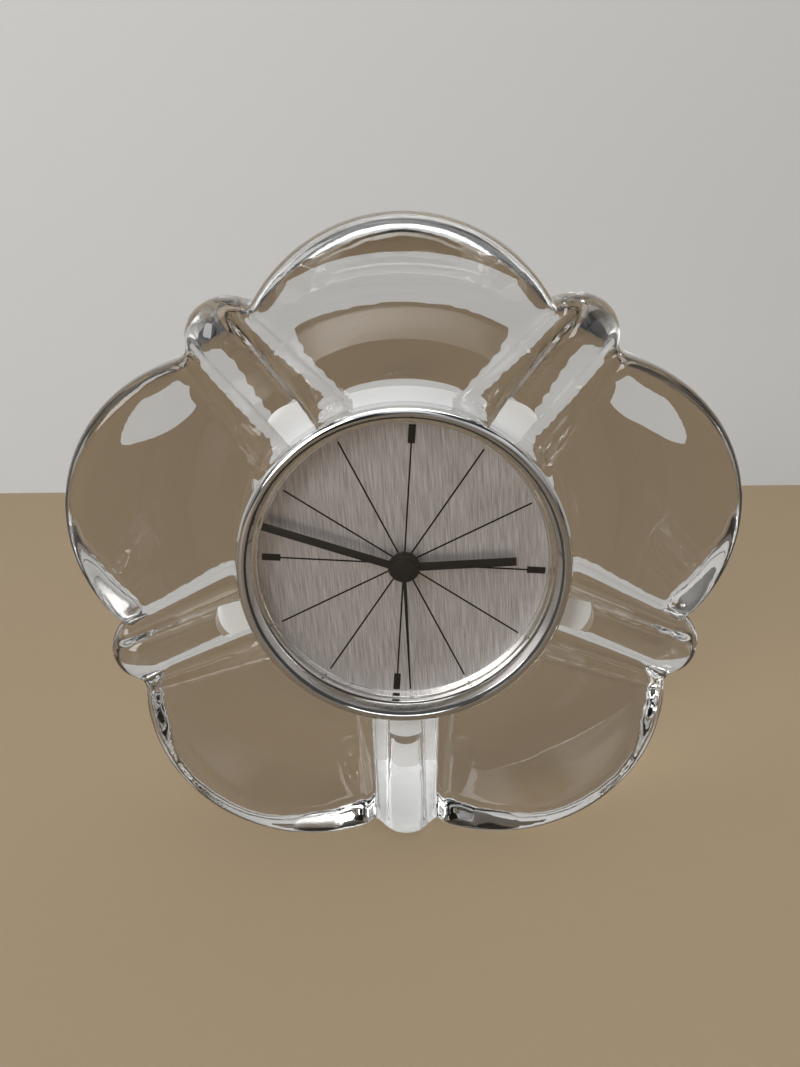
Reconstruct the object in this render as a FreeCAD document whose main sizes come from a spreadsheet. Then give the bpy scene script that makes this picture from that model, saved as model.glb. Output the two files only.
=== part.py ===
import FreeCAD, Part
import math
import os
import Sketcher
from FreeCAD import Placement, Rotation, Vector

# Table clock: a quartz insert in a five-petalled crystal flower.
# Millimetres. The front faces -Y, +X is to the viewer's right and +Z is up.
# The origin is on the table, under the dial's axis, at the middle of the crystal's depth.

doc = FreeCAD.newDocument("table_clock")

SIZES = {
    # crystal flower, depths counted back from the plane of its foremost rims
    "dial_height": 64.2,
    "crystal_depth": 36.0,
    "petal_reach": 37.4,
    "petal_radius": 33.3,
    "lower_petal_reach": 36.2,
    "lower_petal_radius": 35.4,
    "rim_rounding": 3.2,
    "facet_setback": 7.0,
    "facet_margin": 3.0,
    "facet_lobe_radius": 6.2,
    "facet_lobe_lead": 4.0,
    "dish_radius": 64.0,
    "wing_radius": 74.0,
    "wing_depth": 8.5,
    "hub_radius": 38.0,
    "rib_radius": 7.5,
    "rib_reach": 66.6,
    "rib_root": 30.0,
    "rib_lead": 0.6,
    "groove_radius": 4.0,
    "groove_end_radius": 1.8,
    "groove_sink": 0.8,
    "groove_root": 34.0,
    "groove_end": 63.0,
    "groove_offset": 7.3,
    "groove_end_offset": 5.8,
    "bore_radius": 32.8,
    "foot_half_width": 8.2,
    "foot_rounding": 1.5,
    "foot_setback": 12.0,
    "overrun": 20.0,
    # bezel, glass and dial
    "dial_setback": 8.0,
    "bezel_radius": 35.0,
    "bezel_front": 7.0,
    "bezel_lip": 0.6,
    "bezel_lip_radius": 33.0,
    "bezel_roll": 1.6,
    "bezel_sleeve_length": 2.5,
    "bezel_sleeve_wall": 0.5,
    "glass_radius": 33.5,
    "glass_thickness": 1.15,
    "gasket_thickness": 0.25,
    "gasket_width": 0.9,
    "reflector_depth": 2.8,
    "reflector_step": 0.5,
    "aperture_radius": 30.6,
    "dial_thickness": 0.5,
    "dial_margin": 0.1,
    "dial_hole": 1.95,
    "print_thickness": 0.05,
    "bar_inner": 26.2,
    "bar_outer": 30.15,
    "bar_width": 1.5,
    "line_inner": 2.6,
    "line_outer": 29.75,
    "line_width": 0.35,
    # case
    "cup_radius": 31.9,
    "cup_wall": 0.6,
    "cup_back_wall": 0.8,
    "case_headroom": 1.45,
    "seat_clearance": 0.05,
    "bore_gasket_length": 6.0,
    "bore_gasket_back": 3.0,
    "bore_gasket_groove": 0.3,
    # hands, levels counted forward from the dial's face
    "hand_thickness": 0.3,
    "hour_hand_level": 2.1,
    "minute_hand_level": 3.1,
    "second_hand_level": 4.0,
    "hour_hand_reach": 23.6,
    "minute_hand_reach": 30.7,
    "second_hand_reach": 27.6,
    "second_hand_tail": 4.4,
    "hour_hand_width": 1.85,
    "minute_hand_width": 1.7,
    "second_hand_width": 0.9,
    "second_hand_point": 0.35,
    "hour_boss_radius": 3.4,
    "minute_boss_radius": 2.9,
    "second_boss_radius": 2.45,
    "boss_thickness": 0.6,
    # movement
    "plate_thickness": 1.0,
    "back_plate_thickness": 1.2,
    "front_plate_margin": 0.3,
    "back_plate_radius": 29.3,
    "level_pitch": 1.4,
    "wheel_thickness": 1.0,
    "level_gap": 0.4,
    "running_clearance": 0.05,
    "arbor_radius": 0.4,
    "tube_wall": 0.3,
    "bush_wall": 0.6,
    "bush_length": 1.1,
    "stud_radius": 0.5,
    "pillar_radius": 1.1,
    "pillar_hole": 0.5,
    "motion_distance": 6.0,
    "third_distance": 8.5,
    "intermediate_distance": 8.75,
    "rotor_distance": 7.5,
    "tooth_backlash": 0.05,
    "rotor_radius": 2.0,
    "rotor_length": 1.8,
    "stator_gap": 0.5,
    "stator_thickness": 0.8,
    "stator_block_inner": 12.0,
    "stator_block_outer": 18.5,
    "core_outer": 24.4,
    "core_width": 2.0,
    "stator_top": 12.0,
    "stator_bottom": 9.5,
    "stator_arm": 2.5,
    "bobbin_top": 8.5,
    "bobbin_bottom": 6.0,
    "bobbin_flange": 0.6,
    "bobbin_radius": 3.6,
    "bobbin_tube_wall": 0.3,
    "winding_radius": 3.1,
    "board_left": 12.0,
    "board_width": 14.5,
    "board_bottom": 6.0,
    "board_height": 22.0,
    "board_thickness": 0.6,
    "board_gap": 0.4,
    "chip_side": 5.0,
    "chip_height": 1.1,
    "can_radius": 1.0,
    "can_length": 6.2,
    # power
    "battery_radius": 6.0,
    "battery_length": 30.2,
    "battery_drop": 18.0,
    "battery_nub_radius": 2.0,
    "battery_nub": 0.6,
    "battery_clearance": 0.1,
    "tray_wall": 1.0,
    "tray_height": 6.5,
    "tray_end_gap": 1.6,
    "contact_thickness": 0.3,
    "contact_width": 5.0,
    "contact_foot": 2.2,
    "cover_thickness": 1.0,
    "cover_margin": 1.0,
    "cover_clearance": 0.2,
    "cover_grip": 0.5,
    "hatch_width": 34.5,
    "hatch_height": 12.6,
    # setting knob and screws
    "knob_radius": 4.0,
    "knob_thickness": 3.0,
    "knob_gap": 0.5,
    "knob_shaft_radius": 0.9,
    "knob_groove": 0.5,
    "screw_radius": 0.45,
    "screw_head_radius": 1.0,
    "screw_head": 0.6,
    "screw_slot": 0.3,
    "plate_screw_length": 3.0,
    "case_post_radius": 1.3,
    "case_post_across": 19.0,
    "case_post_up": 16.0,
}

# Derived places along Y, in front of or behind the dial's face
PLACES = {
    "rim_plane": "=-sizes.crystal_depth / 2",
    "back_plane": "=sizes.crystal_depth / 2",
    "facet_plane": "=rim_plane + sizes.facet_setback",
    "facet_edge": "=sizes.bezel_radius + sizes.facet_margin",
    "facet_lobe_reach": "=facet_edge + sizes.facet_lobe_lead - sizes.facet_lobe_radius",
    "dial_face": "=rim_plane + sizes.dial_setback",
    "bezel_face": "=dial_face - sizes.bezel_front",
    "glass_front": "=bezel_face + sizes.bezel_lip + sizes.gasket_thickness",
    "glass_back": "=glass_front + sizes.glass_thickness",
    "flange_back": "=glass_back + sizes.reflector_depth",
    "dial_back": "=dial_face + sizes.dial_thickness",
    "front_plate_back": "=dial_back + sizes.plate_thickness",
    "first_level": "=front_plate_back + sizes.level_gap",
    "back_plate_front": "=first_level + 6 * sizes.level_pitch",
    "back_plate_back": "=back_plate_front + sizes.back_plate_thickness",
    "battery_axis": "=front_plate_back + sizes.battery_clearance + sizes.battery_radius",
    "battery_back": "=battery_axis + sizes.battery_radius",
    "screw_back": "=back_plate_back + sizes.screw_head",
    "cup_front": "=flange_back + sizes.seat_clearance",
    "cup_floor": "=max(battery_back; screw_back) + sizes.case_headroom",
    "cup_end": "=cup_floor + sizes.cup_back_wall",
    "cup_bore": "=sizes.cup_radius - sizes.cup_wall",
    "core_axis": "=first_level + 3 * sizes.level_pitch + sizes.stator_thickness / 2",
}

# Tooth counts, and the shape of every tooth as shares of its module
CANNON_TEETH = 12
MOTION_TEETH = 36
MOTION_PINION_TEETH = 10
HOUR_TEETH = 40
SETTING_TEETH = 12
CENTRE_TEETH = 80
THIRD_PINION_TEETH = 10
THIRD_TEETH = 75
SECONDS_PINION_TEETH = 10
SECONDS_TEETH = 60
INTERMEDIATE_PINION_TEETH = 10
INTERMEDIATE_TEETH = 50
ROTOR_PINION_TEETH = 10
PRESSURE_ANGLE = math.radians(25)
ADDENDUM_SHARE = 0.8
DEDENDUM_SHARE = 1.05
FLANK_SHARES = (0.0, 0.35, 0.7, 1.0)

# Directions of the wheel axes, in degrees anticlockwise from +X as the front is seen
THIRD_DIRECTION = -15.0
INTERMEDIATE_DIRECTION = 160.0
ROTOR_DIRECTION = 200.0
MOTION_DIRECTION = 90.0

# The insert sits a little turned in its bore, in degrees clockwise, and the hands show this time
INSERT_TURN = 3.65
HOURS_SHOWN = 2
MINUTES_SHOWN = 47
SECONDS_SHOWN = 29

PETALS = 5
HOURS = 12


def fill_sheet(name, table):
    """A spreadsheet with one named cell for each entry."""
    sheet = doc.addObject("Spreadsheet::Sheet", name)
    for row, (alias, content) in enumerate(table.items(), start=1):
        sheet.set("A%d" % row, alias)
        sheet.set("B%d" % row, str(content))
        sheet.setAlias("B%d" % row, alias)
    doc.recompute()
    return sheet


sizes = fill_sheet("sizes", SIZES)
places = fill_sheet("places", PLACES)


def size(name):
    return float(sizes.get(name))


def place(name):
    return float(places.get(name))


subparts = []


def publish(label, *members):
    """One sub-part of the insert: turned and raised with the dial's axis."""
    node = doc.addObject("Part::Compound", label)
    node.Label = label
    node.Links = list(members)
    node.Placement = Placement(Vector(), Rotation(Vector(0, 1, 0), INSERT_TURN))
    node.setExpression("Placement.Base.z", "sizes.dial_height")
    subparts.append(node)
    return node


def bind(item, **expressions):
    for name, text in expressions.items():
        item.setExpression(name.replace("_at_", "."), text)
    return item


def rod(name, radius, start, length, across="0", up="0"):
    """A cylinder along Y that starts at y = start and runs back."""
    item = doc.addObject("Part::Cylinder", name)
    bind(item, Radius=radius, Height=length)
    item.Placement = Placement(Vector(), Rotation(Vector(1, 0, 0), -90))
    item.setExpression("Placement.Base.x", across)
    item.setExpression("Placement.Base.y", start)
    item.setExpression("Placement.Base.z", up)
    return item


def taper(name, front_radius, back_radius, start, length, up="0"):
    """A cone frustum along Y."""
    item = doc.addObject("Part::Cone", name)
    bind(item, Radius1=front_radius, Radius2=back_radius, Height=length)
    item.Placement = Placement(Vector(), Rotation(Vector(1, 0, 0), -90))
    item.setExpression("Placement.Base.y", start)
    item.setExpression("Placement.Base.z", up)
    return item


def block(name, left, front, bottom, width, depth, height):
    """A box from its lowest corner."""
    item = doc.addObject("Part::Box", name)
    bind(item, Length=width, Width=depth, Height=height)
    item.setExpression("Placement.Base.x", left)
    item.setExpression("Placement.Base.y", front)
    item.setExpression("Placement.Base.z", bottom)
    return item


def cut(name, base, tool):
    item = doc.addObject("Part::Cut", name)
    item.Base = base
    item.Tool = tool
    return item


def fuse(name, *members):
    item = doc.addObject("Part::MultiFuse", name)
    item.Shapes = list(members)
    return item


def common(name, first, second):
    item = doc.addObject("Part::Common", name)
    item.Base = first
    item.Tool = second
    return item


def computed(name, shape):
    """A solid whose outline comes from a formula."""
    item = doc.addObject("Part::Feature", name)
    item.Shape = shape
    return item


def turned_body(name, outline):
    """A revolved body: outline is a closed list of (radius, y) expressions."""
    body = doc.addObject("PartDesign::Body", name)
    plane = [item for item in body.Origin.OriginFeatures if item.Role == "XY_Plane"][0]
    sketch = body.newObject("Sketcher::SketchObject", name + "_outline")
    sketch.AttachmentSupport = (plane, [""])
    sketch.MapMode = "FlatFace"
    points = [Vector(evaluate(sketch, radius), evaluate(sketch, along), 0) for radius, along in outline]
    count = len(points)
    for index in range(count):
        sketch.addGeometry(Part.LineSegment(points[index], points[(index + 1) % count]), False)
    for index in range(count):
        following = (index + 1) % count
        sketch.addConstraint(Sketcher.Constraint("Coincident", index, 2, following, 1))
    for index, (radius, along) in enumerate(outline):
        places_bound = (("DistanceX", points[index].x, radius), ("DistanceY", points[index].y, along))
        for kind, value, text in places_bound:
            number = sketch.addConstraint(Sketcher.Constraint(kind, -1, 1, index, 1, value))
            sketch.setExpression("Constraints[%d]" % number, text)
    turning = body.newObject("PartDesign::Revolution", name + "_turning")
    turning.Profile = sketch
    turning.ReferenceAxis = (sketch, ["V_Axis"])
    turning.Angle = 360
    body.Tip = turning
    return body


def evaluate(item, text):
    """The number that an expression gives now."""
    return float(item.evalExpression(text))




def polar(distance, degrees):
    """A point in the dial's plane, as (across, up)."""
    angle = math.radians(degrees)
    return distance * math.cos(angle), distance * math.sin(angle)


# Wheel axes in the dial's plane, about the dial's own axis
centre_axis = (0.0, 0.0)
motion_axis = polar(size("motion_distance"), MOTION_DIRECTION)
setting_axis = polar(2 * size("motion_distance"), MOTION_DIRECTION)
third_axis = polar(size("third_distance"), THIRD_DIRECTION)
intermediate_axis = polar(size("intermediate_distance"), INTERMEDIATE_DIRECTION)
rotor_step = polar(size("rotor_distance"), ROTOR_DIRECTION)
rotor_axis = (intermediate_axis[0] + rotor_step[0], intermediate_axis[1] + rotor_step[1])


# Crystal flower: one block of clear crystal, pressed and polished


def petal_directions():
    """The upper three petals and the lower two, in degrees from +X."""
    step = 360 / PETALS
    return [90 + step * index for index in range(PETALS)]


def petal_block(index, direction):
    """A round pad with its front rim rounded over."""
    low = math.sin(math.radians(direction)) < -0.5
    prefix = "lower_" if low else ""
    reach = "sizes.%spetal_reach" % prefix
    cosine, sine = polar(1, direction)
    pad = rod(
        "petal_%d" % index, "sizes.%spetal_radius" % prefix, "places.rim_plane", "sizes.crystal_depth",
        "%s * %.9f" % (reach, cosine), "sizes.dial_height + %s * %.9f" % (reach, sine))
    doc.recompute()
    rounded = doc.addObject("Part::Fillet", "petal_rim_%d" % index)
    rounded.Base = pad
    front = [
        number for number, edge in enumerate(pad.Shape.Edges, start=1)
        if len(edge.Vertexes) == 1 and abs(edge.CenterOfMass.y - place("rim_plane")) < size("rim_rounding")]
    radius = size("rim_rounding")
    rounded.Edges = [(number, radius, radius) for number in front]
    return rounded


def rib(index, direction):
    """A half-round bar that rises outwards with the dish and ends in a ball."""
    cosine, sine = polar(1, direction)
    outward = Vector(cosine, 0, sine)
    backward = Vector(0, 1, 0)
    sideways = outward.cross(backward)
    turn = Rotation(sideways, outward, backward, "ZXY")
    radius = size("rib_radius")
    root = size("rib_root")
    end = size("rib_reach") - radius
    slope = size("facet_setback") / (size("dish_radius") - place("facet_edge"))
    end_depth = place("rim_plane") - size("rib_lead") + radius
    root_depth = end_depth + slope * (end - root)
    centre = Vector(0, 0, size("dial_height"))
    wedge = doc.addObject("Part::Wedge", "rib_body_%d" % index)
    wedge.Xmin = -radius
    wedge.Xmax = radius
    wedge.X2min = -radius
    wedge.X2max = radius
    wedge.Ymin = root
    wedge.Ymax = end
    wedge.Zmin = root_depth
    wedge.Zmax = place("back_plane")
    wedge.Z2min = end_depth
    wedge.Z2max = place("back_plane")
    bind(wedge, Xmax="sizes.rib_radius", X2max="sizes.rib_radius")
    bind(wedge, Xmin="-sizes.rib_radius", X2min="-sizes.rib_radius")
    bind(wedge, Ymin="sizes.rib_root", Ymax="sizes.rib_reach - sizes.rib_radius")
    wedge.Placement = Placement(centre, turn)
    heading = outward * (end - root) + backward * (end_depth - root_depth)
    bar = doc.addObject("Part::Cylinder", "rib_bar_%d" % index)
    bar.setExpression("Radius", "sizes.rib_radius")
    bar.Height = heading.Length
    start = centre + outward * root + backward * root_depth
    bar.Placement = Placement(start, Rotation(Vector(0, 0, 1), heading))
    ball = doc.addObject("Part::Sphere", "rib_ball_%d" % index)
    ball.setExpression("Radius", "sizes.rib_radius")
    ball_centre = centre + outward * end + backward * end_depth
    ball.Placement = Placement(ball_centre, Rotation(Vector(1, 0, 0), -90))
    post = doc.addObject("Part::Cylinder", "rib_end_%d" % index)
    bind(post, Radius="sizes.rib_radius")
    post.Height = place("back_plane") - end_depth
    post.Placement = Placement(ball_centre, Rotation(Vector(1, 0, 0), -90))
    return fuse("rib_%d" % index, wedge, bar, ball, post)


def groove(index, direction, side):
    """A leaf-shaped hollow beside a rib: a cone laid on the dish, which narrows outwards."""
    cosine, sine = polar(1, direction)
    outward = Vector(cosine, 0, sine)
    sideways = Vector(-sine, 0, cosine)
    centre = Vector(0, 0, size("dial_height"))
    slope = size("facet_setback") / (size("dish_radius") - place("facet_edge"))
    ends = []
    for reach, offset in (("groove_root", "groove_offset"), ("groove_end", "groove_end_offset")):
        depth = place("rim_plane") + size("groove_sink") + slope * (size("dish_radius") - size(reach))
        ends.append(centre + outward * size(reach) + sideways * side * size(offset) + Vector(0, depth, 0))
    heading = ends[1] - ends[0]
    item = doc.addObject("Part::Cone", "groove_%d_%s" % (index, "left" if side > 0 else "right"))
    bind(item, Radius1="sizes.groove_radius", Radius2="sizes.groove_end_radius")
    item.Height = heading.Length
    item.Placement = Placement(ends[0], Rotation(Vector(0, 0, 1), heading))
    return item


def crystal_body():
    directions = petal_directions()
    pads = fuse("petals", *[petal_block(index, way) for index, way in enumerate(directions)])
    dish = taper(
        "dish", "places.facet_edge + (sizes.dish_radius - places.facet_edge) * 2", "places.facet_edge",
        "places.facet_plane - sizes.facet_setback * 2", "sizes.facet_setback * 2", "sizes.dial_height")
    dished = cut("dished_petals", pads, dish)
    half_step = 180 / PETALS
    ribs = [rib(index, way + half_step) for index, way in enumerate(directions)]
    flower = fuse("flower", dished, *ribs)
    wing = rod(
        "wing", "sizes.wing_radius", "places.rim_plane - sizes.overrun",
        "sizes.overrun + sizes.wing_depth", "0", "sizes.dial_height")
    slope = taper(
        "back_slope", "sizes.wing_radius", "sizes.hub_radius", "places.rim_plane + sizes.wing_depth",
        "sizes.crystal_depth - sizes.wing_depth", "sizes.dial_height")
    shaped = common("shaped_flower", flower, fuse("turned_back", wing, slope))
    foot_front = "places.rim_plane + sizes.foot_setback"
    foot = block(
        "foot", "-sizes.foot_half_width", foot_front, "0", "2 * sizes.foot_half_width",
        "places.back_plane - places.rim_plane - sizes.foot_setback", "sizes.dial_height - sizes.bore_radius")
    doc.recompute()
    upright = [
        number for number, edge in enumerate(foot.Shape.Edges, start=1)
        if edge.BoundBox.ZLength > size("overrun")]
    rounded_foot = doc.addObject("Part::Fillet", "rounded_foot")
    rounded_foot.Base = foot
    rounded_foot.Edges = [(number, size("foot_rounding"), size("foot_rounding")) for number in upright]
    standing = fuse("standing_flower", shaped, rounded_foot)
    spots = [rod(
        "facet_spot", "places.facet_edge", "places.facet_plane - sizes.overrun", "sizes.overrun", "0",
        "sizes.dial_height")]
    for index, way in enumerate(directions):
        cosine, sine = polar(1, way + half_step)
        spots.append(rod(
            "facet_lobe_%d" % index, "sizes.facet_lobe_radius", "places.facet_plane - sizes.overrun",
            "sizes.overrun", "places.facet_lobe_reach * %.9f" % cosine,
            "sizes.dial_height + places.facet_lobe_reach * %.9f" % sine))
        spots += [groove(index, way + half_step, side) for side in (-1, 1)]
    faced = cut("faced_flower", standing, fuse("facet_and_grooves", *spots))
    bore = rod(
        "bore", "sizes.bore_radius", "places.rim_plane - sizes.overrun",
        "sizes.crystal_depth + 2 * sizes.overrun", "0", "sizes.dial_height")
    bored = cut("bored_flower", faced, bore)
    table = block(
        "table", "-2 * sizes.wing_radius", "places.rim_plane - sizes.overrun", "-sizes.overrun",
        "4 * sizes.wing_radius", "sizes.crystal_depth + 2 * sizes.overrun", "sizes.overrun")
    node = cut("crystal_body", bored, table)
    subparts.append(node)


# Bezel, glass and dial


def bezel():
    inner = "sizes.cup_radius + sizes.seat_clearance"
    sleeve = inner + " + sizes.bezel_sleeve_wall"
    outline = [
        (inner, "places.facet_plane + sizes.bezel_sleeve_length"),
        (sleeve, "places.facet_plane + sizes.bezel_sleeve_length"),
        (sleeve, "places.facet_plane"),
        ("sizes.bezel_radius", "places.facet_plane"),
        ("sizes.bezel_radius", "places.bezel_face + sizes.bezel_roll * 1.5"),
        ("sizes.bezel_radius - sizes.bezel_roll * 0.15", "places.bezel_face + sizes.bezel_roll * 0.8"),
        ("sizes.bezel_radius - sizes.bezel_roll * 0.5", "places.bezel_face + sizes.bezel_roll * 0.25"),
        ("sizes.bezel_radius - sizes.bezel_roll", "places.bezel_face"),
        ("sizes.bezel_lip_radius", "places.bezel_face"),
        ("sizes.bezel_lip_radius", "places.bezel_face + sizes.bezel_lip"),
        ("sizes.glass_radius + sizes.seat_clearance", "places.bezel_face + sizes.bezel_lip"),
        ("sizes.glass_radius + sizes.seat_clearance", "places.flange_back"),
        (inner, "places.flange_back"),
    ]
    publish("bezel", turned_body("bezel_ring", outline))


def glass_gasket():
    start = "places.bezel_face + sizes.bezel_lip"
    ring = rod("gasket_disc", "sizes.glass_radius", start, "sizes.gasket_thickness")
    hole = rod(
        "gasket_hole", "sizes.glass_radius - sizes.gasket_width", start + " - sizes.overrun", "2 * sizes.overrun")
    publish("glass_gasket", cut("gasket_ring", ring, hole))


def clock_glass():
    disc = rod("glass_disc", "sizes.glass_radius", "places.glass_front", "sizes.glass_thickness")
    publish("clock_glass", disc)


def reflector_ring():
    """A thin polished cone with a step half way down, under the glass."""
    middle = "(places.glass_back + places.flange_back) / 2"
    middle_radius = "(sizes.aperture_radius + sizes.bezel_lip_radius) / 2"
    outer = "places.cup_bore - sizes.seat_clearance"
    outline = [
        ("sizes.bezel_lip_radius", "places.glass_back"),
        (middle_radius + " + sizes.reflector_step / 2", middle),
        (middle_radius + " - sizes.reflector_step / 2", middle),
        ("sizes.aperture_radius", "places.flange_back - sizes.reflector_step"),
        ("sizes.aperture_radius", "places.dial_face"),
        (outer, "places.dial_face"),
        (outer, "places.flange_back"),
        ("sizes.glass_radius", "places.flange_back"),
        ("sizes.glass_radius", "places.glass_back"),
    ]
    publish("reflector_ring", turned_body("reflector", outline))


def dial():
    disc = rod("dial_disc", "places.cup_bore - sizes.dial_margin", "places.dial_face", "sizes.dial_thickness")
    hole = rod("dial_centre_hole", "sizes.dial_hole", "places.dial_face - sizes.overrun", "2 * sizes.overrun")
    publish("dial", cut("dial_plate", disc, hole))


def dial_mark(name, width, inner, outer, hour):
    """A printed strip that points outwards at one hour."""
    strip = doc.addObject("Part::Box", name)
    bind(strip, Length=width, Width="sizes.print_thickness", Height="%s - %s" % (outer, inner))
    turn = Rotation(Vector(0, 1, 0), 360 / HOURS * hour)
    corner = Vector(-evaluate(strip, width) / 2, place("dial_face") - size("print_thickness"), evaluate(strip, inner))
    strip.Placement = Placement(turn.multVec(corner), turn)
    return strip


def dial_prints():
    bars = []
    lines = []
    for hour in range(HOURS):
        outer = "sizes.line_outer"
        if hour % 3 == 0:
            bars.append(dial_mark("bar_%d" % hour, "sizes.bar_width", "sizes.bar_inner", "sizes.bar_outer", hour))
            outer = "sizes.bar_inner"
        lines.append(dial_mark("line_%d" % hour, "sizes.line_width", "sizes.line_inner", outer, hour))
    publish("dial_bars", *bars)
    publish("dial_lines", *lines)


# Case


def case_cup():
    outline = [
        ("sizes.cup_radius", "places.cup_front"),
        ("sizes.cup_radius", "places.cup_end"),
        ("0", "places.cup_end"),
        ("0", "places.cup_floor"),
        ("places.cup_bore", "places.cup_floor"),
        ("places.cup_bore", "places.cup_front"),
    ]
    shell = turned_body("cup_shell", outline)
    hatch = block(
        "cup_hatch", "-sizes.hatch_width / 2", "places.cup_floor - sizes.overrun",
        "-sizes.battery_drop - sizes.hatch_height / 2",
        "sizes.hatch_width", "2 * sizes.overrun", "sizes.hatch_height")
    knob_hole = rod(
        "cup_knob_hole", "sizes.knob_shaft_radius + sizes.running_clearance", "places.cup_floor - sizes.overrun",
        "2 * sizes.overrun", "0", "2 * sizes.motion_distance")
    openings = [hatch, knob_hole]
    for side in (-1, 1):
        openings.append(rod(
            "cup_screw_hole_%d" % side, "sizes.screw_radius + sizes.seat_clearance",
            "places.cup_floor - sizes.overrun", "2 * sizes.overrun",
            "%d * sizes.case_post_across" % side, "sizes.case_post_up"))
    publish("case_cup", cut("cup", shell, fuse("cup_openings", *openings)))


def bore_gasket():
    inner = "sizes.cup_radius"
    outer = "sizes.bore_radius - sizes.seat_clearance"
    start = "places.facet_plane + sizes.bore_gasket_back"
    ridge = "sizes.bore_gasket_length / 5"
    waist = outer + " - sizes.bore_gasket_groove"
    outline = [(inner, start)]
    for index in range(3):
        near = start + " + %d * " % (2 * index) + ridge
        outline.append((outer, near))
        outline.append((outer, near + " + " + ridge))
        if index < 2:
            outline.append((waist, near + " + " + ridge))
            outline.append((waist, near + " + 2 * " + ridge))
    outline.append((inner, start + " + sizes.bore_gasket_length"))
    publish("bore_gasket", turned_body("bore_ring", outline))


# Toothed wheels


def flank_angle(base, radius, pitch_angle):
    """Half the angle that a tooth fills at a radius, for an involute flank."""
    pressure = math.acos(min(1.0, base / radius))
    rolled = math.tan(PRESSURE_ANGLE) - PRESSURE_ANGLE
    return pitch_angle + rolled - (math.tan(pressure) - pressure)


def wheel_shape(teeth, module, phase, axis, start, length, hole=0.0):
    """An involute wheel along Y; phase is the direction of one tooth, in radians."""
    pitch = module * teeth / 2
    base = pitch * math.cos(PRESSURE_ANGLE)
    tip = pitch + ADDENDUM_SHARE * module
    root = pitch - DEDENDUM_SHARE * module
    pitch_angle = math.pi / 2 / teeth - size("tooth_backlash") / 2 / pitch
    low = max(base, root)
    outline = []
    for tooth in range(teeth):
        middle = phase + 2 * math.pi * tooth / teeth
        flank = []
        for share in FLANK_SHARES:
            radius = low + share * (tip - low)
            flank.append((radius, flank_angle(base, radius, pitch_angle)))
        if root < base:
            flank.insert(0, (root, flank[0][1]))
        for radius, angle in flank:
            outline.append((radius, middle - angle))
        for radius, angle in reversed(flank):
            outline.append((radius, middle + angle))
    points = [
        Vector(axis[0] + radius * math.cos(angle), start, axis[1] + radius * math.sin(angle))
        for radius, angle in outline]
    wires = [Part.makePolygon(points + [points[0]])]
    if hole:
        centre = Vector(axis[0], start, axis[1])
        wires.append(Part.Wire(Part.makeCircle(hole, centre, Vector(0, 1, 0))))
    face = Part.Face(wires, "Part::FaceMakerBullseye")
    return face.extrude(Vector(0, length, 0))


def shaft_shape(radius, axis, start, end, hole=0.0):
    """A plain shaft, or a tube if it has a hole."""
    origin = Vector(axis[0], start, axis[1])
    shape = Part.makeCylinder(radius, end - start, origin, Vector(0, 1, 0))
    if hole:
        shape = shape.cut(Part.makeCylinder(hole, end - start, origin, Vector(0, 1, 0)))
    return shape


def heading(first, second):
    return math.atan2(second[1] - first[1], second[0] - first[0])


def mating_phase(first_teeth, first_phase, first_axis, second_teeth, second_axis):
    """The phase that puts a gap of the second wheel where the first has a tooth."""
    line = heading(first_axis, second_axis)
    step = 2 * math.pi / first_teeth
    late = (line - first_phase) % step
    gap = line + math.pi + late * first_teeth / second_teeth
    return gap + math.pi / second_teeth


def module_for(distance, first, second):
    return 2 * size(distance) / (first + second)


def level(number):
    """Where a wheel on one of the six levels starts; level 1 is the foremost."""
    return place("first_level") + (number - 1) * size("level_pitch")


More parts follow.
